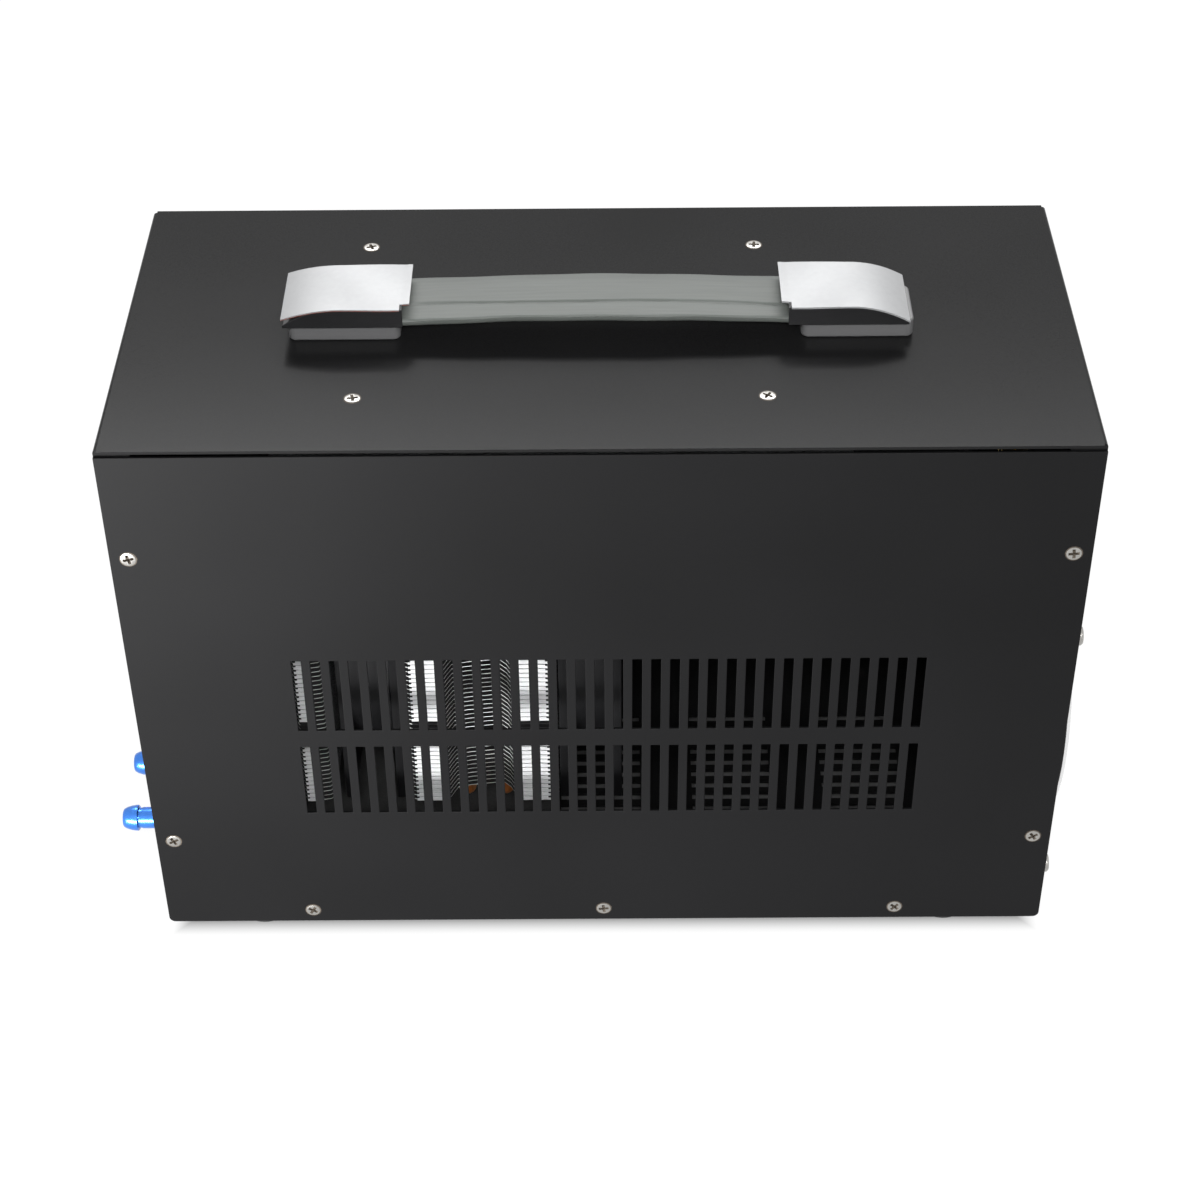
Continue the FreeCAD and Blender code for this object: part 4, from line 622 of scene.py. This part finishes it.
class CHILLER_OT_handle(bpy.types.Operator):
    """Strap, blocks, plated caps and the films on them"""

    bl_idname = "chiller.handle"
    bl_label = "Handle"

    def execute(self, context):
        self.strap()
        for side in ("left", "right"):
            softened(f"handle_block_{side}", "block", 0.9 * MM, segments=3, slot="block_plastic", sharper=60)
            softened(f"handle_cap_{side}", "cap", 0.3 * MM, slot="cap_plating", sharper=60)
            self.film(side)
        paint("nickel", "handle_screws")
        return {"FINISHED"}

    def strap(self):
        """A moulded strap with rounded edges, a lengthwise crease and a slightly uneven line."""
        low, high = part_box("handle_strap")
        bm = bmesh.new()
        rise = 1.6 * MM
        top = high.z - rise
        slab(bm, low, (high.x, high.y, top), sizes().strap_edge, 4)
        cuts = 64
        for index in range(1, cuts):
            cut(bm, (low.x + (high.x - low.x) * index / cuts, 0, 0), X)
        for across in (-9, -7, -6, -5.5, -5.1, -4.7, -4.3, -3.9, -3.5, -2.9, -2, 0, 4, 8):
            cut(bm, (0, across * MM, 0), Y)
        # The upper skin between the caps gets a wandering groove, a step beside it and ripples near the caps;
        # along and across are in mm from the middle.
        skin, bare = 0.4 * MM, 72
        for vert in bm.verts:
            along, across = vert.co.x / MM, vert.co.y / MM
            if vert.co.z > top - skin and abs(along) < bare:
                crease = -4.6 + 0.45 * math.sin(along / 15) - 0.008 * along
                groove = 0.6 * math.exp(-((across - crease) / 0.6) ** 2)
                step = 0.3 * max(0, min(1, (crease - across) / 4))
                ripple = 0.05 * math.sin(along * 2.1 + across) * math.exp(-((abs(along) - 70) / 9) ** 2)
                vert.co.z += (ripple - groove - step) * MM
            vert.co.z += rise * max(0.0, 1 - (along / 70) ** 2)
            vert.co.y *= 1 + 0.014 * math.sin(along / 13 + 0.6) + 0.012 * math.sin(along / 5.3 + across)
            if across > 0:
                vert.co.y += 0.5 * MM * math.exp(-((along + 12) / 22) ** 2)
        add_piece("strap_dressed", bm, ["strap"], nodes=["handle_strap"], slot="strap_plastic", crease=50)

    def film(self, side):
        """A film over a cap: flared at its tip, notched beside the strap, with a line of glue."""
        way, shorter = (1, 2.6 * MM) if side == "left" else (-1, 0)
        low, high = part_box(f"cap_film_{side}")
        tip, end = (low.x, high.x) if way > 0 else (high.x, low.x)
        thick = sizes().film_thick
        reach = abs(end - tip) + sizes().film_reach
        drop = high.z - low.z - thick - shorter
        rounding = 21 * MM
        lift, lifted = 0.15 * MM, 2.3 * MM
        notch_long, notch_wide = 2.5 * MM, 3.2 * MM
        half = (high.y - low.y) / 2
        bm = bmesh.new()
        grid = bmesh.ops.create_grid(bm, x_segments=40, y_segments=16, size=1)["verts"]
        for vert in grid:
            along, across = (vert.co.x + 1) / 2 * reach, vert.co.y
            slope = max(0.0, 1 - along / rounding)
            ripple = 0.12 * math.sin(along / (6 * MM) + across * 2) * (1 - slope) * MM
            height = high.z - thick - drop * slope ** 2 + ripple
            if along > reach - lifted:
                height += lift
            flare = 1 + 0.02 * slope
            vert.co = (tip + way * along, across * half * flare, height)
        notch = [vert for vert in grid
                 if vert.co.y < low.y + notch_wide and abs(vert.co.x - tip) > reach - notch_long]
        bmesh.ops.delete(bm, geom=notch, context="VERTS")
        layer = bm.faces[:]
        for share, keep in ((0.35, True), (0.65, False)):
            layer = extruded(bm, layer, Z * thick * share, keep)
        bm.normal_update()
        for face in bm.faces:
            lower = min(edge.calc_length() for edge in face.edges) < 0.5 * thick
            face.material_index = int(face.normal.y < -0.5 and lower)
        dressed(f"cap_film_{side}", bm, ["film", "glue"], "film", crease=40)


# Coolers

# A fin's outline in mm: the outer corner, inwards from its side and down from its end, and the hollow's wall,
# inwards from the hollow's mouth and down from the fin's end.
FIN_CORNER = [(0, 5), (0.5, 3.2), (1.6, 1.7)]
FIN_HOLLOW = [(0.7, 2), (2, 4.9), (3.6, 7.9), (6.2, 9.6), (9.5, 10)]


class CHILLER_OT_coolers(bpy.types.Operator):
    """Dense fins with bands of tabs, bent heat pipes and their bases"""

    bl_idname = "chiller.coolers"
    bl_label = "Coolers"

    def execute(self, context):
        for side in ("left", "right"):
            self.fins(side)
            self.pipes(side)
            softened(f"cooler_base_{side}", "copper", 0.5 * MM, slot="pipe_copper")
        return {"FINISHED"}

    def fins(self, side):
        """Thin fins with a hollow at each end, their flats painted near black as the shade between them, and
        their edges and tabs bright.
        """
        low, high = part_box(f"fin_stack_{side}")
        middle, half, deep = (low.x + high.x) / 2, (high.x - low.x) / 2, high.y
        pitch, thick, gap = sizes().fin_pitch, sizes().fin_thick, sizes().tab_gap
        mouth, tabs = (19.6 * MM, 25.2 * MM) if side == "left" else (14.4 * MM, 27.2 * MM)
        sunk = deep - 0.9 * MM
        quarter = [(0, 0), (half, 0)]
        quarter += [(half - inward * MM, deep - down * MM) for inward, down in FIN_CORNER]
        quarter += [(tabs, sunk), (mouth, sunk)]
        quarter += [(mouth - inward * MM, deep - down * MM) for inward, down in FIN_HOLLOW]
        quarter += [(0, deep - FIN_HOLLOW[-1][1] * MM)]
        bm = bmesh.new()
        bm.faces.new([bm.verts.new((along, across, 0)) for along, across in quarter])
        for axis in ("X", "Y"):
            bmesh.ops.mirror(bm, geom=whole(bm), axis=axis, merge_dist=0.01 * MM)
        bmesh.ops.remove_doubles(bm, verts=bm.verts, dist=0.01 * MM)
        bmesh.ops.recalc_face_normals(bm, faces=bm.faces)
        for vert in bm.verts:
            if abs(vert.co.x) < mouth - 5 * MM:
                vert.co.y += sizes().hollow_skew * vert.co.x
        extruded(bm, bm.faces[:], Z * thick)
        bmesh.ops.translate(bm, verts=bm.verts, vec=(middle, 0, low.z))
        bm.normal_update()
        for face in bm.faces:
            off = abs(face.calc_center_median().x - middle)
            # Flats, and the edges behind the tabs, take the near-black fin colour, which is painted shade;
            # the other edges take the bright edge colour.
            face.material_index = int(abs(face.normal.z) < 0.5 and not mouth < off < tabs)
        first = whole(bm)
        count = int((high.z - low.z) / pitch)
        for level in range(1, count + 1):
            bmesh.ops.translate(bm, verts=copied(bm, first), vec=Z * pitch * level)
        plain = set(bm.faces)
        for level in range(count):
            start = low.z + level * pitch + gap / 2
            end = start + pitch - gap
            if end > sizes().bare_low and start < sizes().bare_high:
                continue
            for sign in (-1, 1):
                for left, right in ((-tabs, -mouth), (mouth, tabs)):
                    self.tab(bm, middle + left, middle + right, start, end, sign * deep, Y * -sign * thick)
        mark(bm, plain, 1)
        add_piece(f"fins_{side}", bm, ["fin", "fin_edge"], nodes=[f"fin_stack_{side}"], slot="fin_aluminium",
                  crease=25)

    def tab(self, bm, left, right, start, end, face, thickness):
        """One folded tab, bitten at the upper corner of each end."""
        bite, step = sizes().tab_notch, end - (end - start) * 0.42
        corners = [(left, start), (right, start), (right, step), (right - bite, step), (right - bite, end),
                   (left + bite, end), (left + bite, step), (left, step)]
        plate(bm, [(along, face, tall) for along, tall in corners], thickness)

    def pipes(self, side):
        """Two bent pipes that rise from the base through the fins at both ends."""
        low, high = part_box(f"heat_pipes_{side}")
        middle = (low.x + high.x) / 2
        radius, bend, slant = 3 * MM, 4 * MM, 1 * MM
        level = low.z + radius
        leg, bottom = high.y - radius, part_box(f"fin_stack_{side}")[0].z
        bm = bmesh.new()
        for sign in (-1, 1):
            outer = middle + sign * ((high.x - low.x) / 2 - radius)
            inner = middle + sign * sizes().pipe_low / 2
            tube(bm, radius, [(outer, -leg, high.z), (outer, -leg, bottom), (inner, slant - leg, level),
                              (inner, leg - slant, level), (outer, leg, bottom), (outer, leg, high.z)], bend)
        add_piece(f"pipes_{side}", bm, ["copper"], nodes=[f"heat_pipes_{side}"], slot="pipe_copper",
                  crease=50)


# Fans and their guard

class CHILLER_OT_fans(bpy.types.Operator):
    """Fan frames with eased edges, and rotors with twisted blades"""

    bl_idname = "chiller.fans"
    bl_label = "Fans"

    def execute(self, context):
        for name, body, hub in (("exhaust_fan", "exhaust_rotor", 22),
                                ("tower_fan_left", "tower_rotor_left", 20),
                                ("tower_fan_right", "tower_rotor_right", 20)):
            softened(name + "_frame", "fan", sizes().moulded_edge, slot="fan_plastic")
            self.rotor(name, body, hub * MM)
        return {"FINISHED"}

    def rotor(self, name, body, hub):
        """A cup with a rounded rim, a shaft, and seven swept, twisted blades."""
        low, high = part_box(name + "_rotor")
        frame_low, frame_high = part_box(name + "_frame")
        axis = (frame_low + frame_high) / 2
        deep, edge, wall = 19.2 * MM, 1.5 * MM, 2 * MM
        blades, inlaid, thick = 7, 0.4 * MM, 1.3 * MM
        reach = (frame_high.z - frame_low.z) * 0.46
        bm = bmesh.new()
        bmesh.ops.create_grid(bm, x_segments=8, y_segments=10, size=1)
        for vert in bm.verts:
            # across a blade from -1 to 1, out from hub to tip from 0 to 1
            across, out = vert.co.x, (vert.co.y + 1) / 2
            radius = hub - inlaid + (reach - hub) * out
            sweep = 0.35 * out ** 2
            turn = sweep + across * (0.40 - 0.06 * out)
            camber = 1.3 * (1 - across ** 2)
            depth = low.x + deep / 2 + (across * (8.6 - 2.2 * out) + camber) * MM
            vert.co = (depth, axis.y + radius * math.cos(turn), axis.z + radius * math.sin(turn))
        bmesh.ops.solidify(bm, geom=bm.faces[:], thickness=thick)
        first = whole(bm)
        for index in range(1, blades):
            bmesh.ops.rotate(bm, cent=axis, matrix=Matrix.Rotation(math.tau * index / blades, 3, "X"),
                             verts=copied(bm, first))
        centre = Vector((low.x, axis.y, axis.z))
        lathe(bm, [(0, 0), (0, hub - 2 * edge), (0.3 * edge, hub - edge), (edge, hub - 0.3 * edge),
                   (2 * edge, hub), (deep, hub), (deep, hub - wall), (wall, hub - wall), (wall, 0)],
              centre, X, 64)
        rod(bm, centre, X, wall, high.x - low.x, 1.5 * MM, 20)
        dressed(name + "_rotor", bm, ["fan"], "fan_plastic", body)


class CHILLER_OT_guard(bpy.types.Operator):
    """Round-wire finger guard and its screws"""

    bl_idname = "chiller.guard"
    bl_label = "Finger guard"

    def execute(self, context):
        low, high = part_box("finger_guard")
        wire = sizes().wire / 2
        centre = face_centre(low, high, 0, 1) - X * wire
        inner, outer = 20 * MM, 65 * MM - wire
        count = sizes().guard_rings
        bm = bmesh.new()
        for index in range(count):
            hoop(bm, inner + (outer - inner) * index / (count - 1), wire, centre, X)
        back = centre - X * 2 * wire
        foot = Vector((low.x + wire, centre.y, centre.z))
        eye = 3.6 * MM
        reach = ((high.y - low.y) / 2 - 4.5 * MM) * math.sqrt(2)
        for quarter in range(4):
            turn = math.radians(45 + 90 * quarter)
            around = Vector((0, math.cos(turn), math.sin(turn)))
            tube(bm, wire, [back + around * (inner - 2 * MM), back + around * (outer + 3 * MM),
                            foot + around * (outer + 6 * MM), foot + around * (reach - eye + 0.2 * MM)],
                 2.4 * MM, 10, 4)
            hoop(bm, eye, wire, foot + around * reach, X, 8, 24)
        add_piece("guard_dressed", bm, ["wire"], nodes=["finger_guard"], slot="wire_plating", crease=50)
        self.screws()
        return {"FINISHED"}

    def screws(self):
        dice = random.Random(3)
        dome = 1.6 * MM
        bm = bmesh.new()
        for low, high in screw_places("guard_screws"):
            seat = face_centre(low, high, 0, 1) - X * dome
            screw_head(bm, seat, X, radius=4 * MM, dome=dome, cross=4.4 * MM, depth=1.7 * MM,
                       turn=dice.uniform(0, 1.5))
            rod(bm, seat, X, -0.9 * MM, low.x - seat.x, 2 * MM)
        dressed("guard_screws", bm, ["nickel", "recess"], "bright_screw")


# Water side and supply

# A spigot in mm, along it and off its axis: the nose, the barb, the pipe and the flange.
SPIGOT_BORE, SPIGOT_PIPE = 2.6, 4.9
SPIGOT = [(0.4, SPIGOT_BORE), (0.0, 3.0), (0.0, 3.5), (0.35, 4.0), (1.6, 4.65), (3.4, 5.2), (5.4, 5.5),
          (6.3, 5.5), (6.6, 5.2), (6.6, 4.4), (7.6, 4.3), (8.4, 4.55), (24.0, 4.55), (24.5, 6.6), (24.9, 7.0),
          (27.0, 7.0), (27.4, 6.8), (27.5, SPIGOT_PIPE)]


class CHILLER_OT_spigots(bpy.types.Operator):
    """Blue hose spigots with a barbed nose"""

    bl_idname = "chiller.spigots"
    bl_label = "Hose spigots"

    def execute(self, context):
        for name in ("hose_spigot_near", "hose_spigot_far"):
            low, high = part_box(name)
            total = (high.x - low.x) / MM
            profile = SPIGOT + [(total, SPIGOT_PIPE), (total, SPIGOT_BORE), SPIGOT[0]]
            bm = bmesh.new()
            lathe(bm, [(along * MM, off * MM) for along, off in profile], face_centre(low, high, 0, 0), X, 48)
            dressed(name, bm, ["anodised"], "spigot_blue")
        return {"FINISHED"}


class CHILLER_OT_inside(bpy.types.Operator):
    """Cold side, power supply and its spacers"""

    bl_idname = "chiller.inside"
    bl_label = "Inside"

    def execute(self, context):
        paint("foam", "insulation_pad", "insulation_sheet")
        paint("machined", "water_block")
        paint("ceramic", "thermoelectric_module_left", "thermoelectric_module_right")
        paint("nylon", "supply_spacers")
        softened("power_supply", "supply", 1 * MM, slot="supply_case")
        return {"FINISHED"}


# Thermostat, rocker and inlet

class CHILLER_OT_thermostat(bpy.types.Operator):
    """Thermostat with its display and marked buttons"""

    bl_idname = "chiller.thermostat"
    bl_label = "Thermostat"

    def execute(self, context):
        softened("thermostat_housing", "moulding", 0.8 * MM, segments=3, slot="stat_plastic")
        softened("display_window", "window", 0.2 * MM, slot="window_plastic")
        paint("board", "control_board")
        self.figures()
        for name in ("set", "down", "up"):
            self.button(f"button_{name}", f"{name}_button")
            self.sign(f"button_{name}", f"{name}_button")
        return {"FINISHED"}

    def button(self, node, body):
        """A turned button with a rim behind the face and a softly domed front."""
        low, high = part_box(node)
        rim, deep = (high.x - low.x) / 2, high.y - low.y
        cap, step = rim * 0.8, deep - 3.9 * MM
        bm = bmesh.new()
        lathe(bm, [(0, 0), (0, rim), (step, rim), (step, cap), (deep - 0.7 * MM, cap),
                   (deep - 0.4 * MM, cap * 0.96), (deep - 0.15 * MM, cap * 0.85), (deep, cap * 0.6),
                   (deep, 0)],
              face_centre(low, high, 1, 0), Y, 40)
        dressed(node, bm, ["button"], "button_plastic", body)

    def figures(self):
        """Three seven-segment figures, unlit, flush with the window's face."""
        low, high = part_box("display_window")
        middle = (low + high) / 2
        proud, apart, gap = 0.03 * MM, 10 * MM, 0.3 * MM
        tall, wide, half = 11 * MM, 6.4 * MM, 0.55 * MM
        face = high.y + proud
        bm = bmesh.new()
        for index in (-1, 0, 1):
            x = middle.x - index * apart
            for level in (-1, 0, 1):
                self.bar(bm, x, middle.z + level * tall / 2, wide / 2 - gap, half, face, False)
            for level in (-1, 1):
                z = middle.z + level * tall / 4
                for side in (-1, 1):
                    self.bar(bm, x + side * wide / 2, z, tall / 4 - gap, half, face, True)
        add_piece("display_figures", bm, ["segment"], slot="window_plastic")

    def bar(self, bm, x, z, reach, half, face, upright):
        """One six-cornered segment."""
        flat = reach - half
        corners = [(-reach, 0), (-flat, -half), (flat, -half), (reach, 0), (flat, half), (-flat, half)]
        if upright:
            corners = [(across, along) for along, across in corners]
        plate(bm, [(x + along, face, z + up) for along, up in corners], Y * -0.06 * MM)

    def sign(self, node, body):
        """A raised triangle or ring on a button."""
        centre = face_centre(*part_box(node), 1, 1)
        bm = bmesh.new()
        if node == "button_set":
            hoop(bm, 1.2 * MM, 0.22 * MM, centre, Y, 6, 24)
        else:
            reach, proud = 1.5 * MM, 0.05 * MM
            way = reach if node == "button_up" else -reach
            corners = [centre + Vector((math.sin(turn) * reach, proud, math.cos(turn) * way))
                       for turn in (0, math.tau / 3, 2 * math.tau / 3)]
            plate(bm, corners, Y * -2 * proud)
        add_piece(node + "_sign", bm, ["print_white"], body, slot="button_plastic")


class CHILLER_OT_mains(bpy.types.Operator):
    """Rocker switch and mains inlet"""

    bl_idname = "chiller.mains"
    bl_label = "Rocker and inlet"

    def execute(self, context):
        softened("rocker_housing", "moulding", 0.4 * MM, slot="stat_plastic")
        softened("rocker_key", "moulding", 0.4 * MM, "rocker", 3, "stat_plastic")
        softened("inlet_socket", "moulding", 0.5 * MM, slot="stat_plastic")
        softened("inlet_contacts", "contact", 0.3 * MM, slot="contact_metal")
        return {"FINISHED"}


# Stage

# Place, width and height of each lamp in metres; all of them point at AIM.
LAMPS = {
    "key": ((-0.42, -0.52, 0.06), 0.4, 0.12),
    "front": ((0.0, -0.87, 0.87), 0.3, 0.15),
    "back": ((0.1, 1.25, 1.52), 2.0, 0.30),
    "fill": ((1.4, -0.6, 1.0), 1.0, 1.0),
}
AIM = Vector((0, 0, 0.12))


class CHILLER_OT_stage(bpy.types.Operator):
    """Pale ground, white surround, soft lamps and the camera"""

    bl_idname = "chiller.stage"
    bl_label = "Stage"

    def execute(self, context):
        self.surround(context)
        self.ground(context)
        for name, (place, wide, tall) in LAMPS.items():
            self.lamp(name, getattr(context.scene.chiller_studio, name), place, wide, tall)
        self.camera(context)
        context.scene.view_settings.view_transform = "Standard"
        return {"FINISHED"}

    def seen_white(self, tree, dim, strength):
        """One strength for camera, mirror and glass rays, and a dim one for the rest."""
        path = add_node(tree, "LightPath")
        seen = maths(tree, "MAXIMUM", path.outputs["Is Camera Ray"], path.outputs["Is Glossy Ray"])
        seen = maths(tree, "MAXIMUM", seen, path.outputs["Is Transmission Ray"])
        blend = add_node(tree, "MapRange", {"Value": seen, "To Min": dim, "To Max": strength})
        return blend.outputs["Result"]

    def surround(self, context):
        """A world that looks white and lights with the ambient strength."""
        world = bpy.data.worlds.new("Surround")
        context.scene.world = world
        world.use_nodes = True
        tree = world.node_tree
        background = tree.nodes["Background"]
        background.inputs["Color"].default_value = (1, 1, 1, 1)
        strength = self.seen_white(tree, context.scene.chiller_studio.ambient, 1)
        tree.links.new(strength, background.inputs["Strength"])

    def ground(self, context):
        """A white ground that shows part of the shadows, with a painted shadow under the case where it
        doesn't glow.
        """
        half, below = 6, 0.05 * MM
        bm = bmesh.new()
        bmesh.ops.create_grid(bm, x_segments=1, y_segments=1, size=half)
        bmesh.ops.translate(bm, verts=bm.verts, vec=Z * -below)
        mesh = bpy.data.meshes.new("ground")
        bm.to_mesh(mesh)
        bm.free()
        ground = placed("ground", mesh)
        material = bpy.data.materials.new("Ground")
        material.use_nodes = True
        tree = material.node_tree
        shader = tree.nodes["Principled BSDF"]
        glow = context.scene.chiller_studio.ground_glow
        shader.inputs["Base Color"].default_value = (1 - glow, 1 - glow, 1 - glow, 1)
        shader.inputs["Roughness"].default_value = 0.9
        shader.inputs["Specular IOR Level"].default_value = 0
        shader.inputs["Emission Color"].default_value = (1, 1, 1, 1)
        place = add_node(tree, "TexCoord")
        parts = add_node(tree, "SeparateXYZ", {"Vector": place.outputs["Object"]})
        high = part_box("floor_pan")[1]
        past = [maths(tree, "SUBTRACT", maths(tree, "ABSOLUTE", parts.outputs[axis]), reach)
                for axis, reach in (("X", high.x), ("Y", high.y))]
        beyond = maths(tree, "MAXIMUM", *past)
        # Painted shadow: the glow fades from 3 mm outside the pan's edge to nothing 12 mm inside it, so the
        # ground under the case is dark.
        inside, outside = -12 * MM, 3 * MM
        glow_outside_painted_shadow = add_node(tree, "MapRange", {"Value": beyond, "From Min": inside, "From Max": outside},
                            interpolation_type="SMOOTHSTEP")
        shared = maths(tree, "MULTIPLY", self.seen_white(tree, 0, glow), glow_outside_painted_shadow.outputs["Result"])
        tree.links.new(shared, shader.inputs["Emission Strength"])
        mesh.materials.append(material)

    def lamp(self, name, power, place, wide, tall):
        light = bpy.data.lights.new(name, "AREA")
        light.shape, light.size, light.size_y = "RECTANGLE", wide, tall
        light.energy = power
        thing = placed(name, light)
        thing.location = place
        thing.rotation_euler = (AIM - Vector(place)).to_track_quat("-Z", "Y").to_euler()

    def camera(self, context):
        """The camera, from its stand and its pitch, yaw and roll."""
        studio = context.scene.chiller_studio
        lens = bpy.data.cameras.new("camera")
        lens.sensor_width, lens.lens = 36, studio.lens
        thing = placed("camera", lens)
        pitch, yaw, roll = studio.pitch, studio.yaw, studio.roll
        ahead = Vector((math.sin(yaw) * math.cos(pitch), math.cos(yaw) * math.cos(pitch), -math.sin(pitch)))
        right = Vector((math.cos(yaw), -math.sin(yaw), 0))
        up = right.cross(ahead)
        across = right * math.cos(roll) + up * math.sin(roll)
        upward = up * math.cos(roll) - right * math.sin(roll)
        turn = Matrix((across, upward, -ahead)).transposed()
        thing.matrix_world = Matrix.Translation(studio.stand) @ turn.to_4x4()
        context.scene.camera = thing


OPERATORS = [CHILLER_OT_case, CHILLER_OT_screws, CHILLER_OT_feet, CHILLER_OT_handle, CHILLER_OT_coolers,
             CHILLER_OT_fans, CHILLER_OT_guard, CHILLER_OT_spigots, CHILLER_OT_inside, CHILLER_OT_thermostat,
             CHILLER_OT_mains, CHILLER_OT_stage]


class CHILLER_PT_pieces(bpy.types.Panel):
    """Pieces of the chiller, in the order that they are made"""

    bl_label = "Aquarium chiller"
    bl_space_type = "VIEW_3D"
    bl_region_type = "UI"
    bl_category = "Chiller"

    def draw(self, context):
        for operator in OPERATORS:
            self.layout.operator(operator.bl_idname)
        for name in GROUPS:
            group = getattr(context.scene, name)
            box = self.layout.box()
            for key in group.bl_rna.properties.keys():
                if key not in ("name", "rna_type"):
                    box.prop(group, key)


GROUPS = {"chiller_sizes": ChillerSizes, "chiller_colours": ChillerColours, "chiller_studio": ChillerStudio}


def register():
    for kind in list(GROUPS.values()) + OPERATORS + [CHILLER_PT_pieces]:
        bpy.utils.register_class(kind)
    for name, kind in GROUPS.items():
        setattr(bpy.types.Scene, name, PointerProperty(type=kind))


def unregister():
    for name in GROUPS:
        delattr(bpy.types.Scene, name)
    for kind in [CHILLER_PT_pieces] + OPERATORS[::-1] + list(GROUPS.values())[::-1]:
        bpy.utils.unregister_class(kind)


def main():
    register()
    for operator in OPERATORS:
        getattr(bpy.ops.chiller, operator.bl_idname.split(".")[1])()


if __name__ == "__main__":
    main()
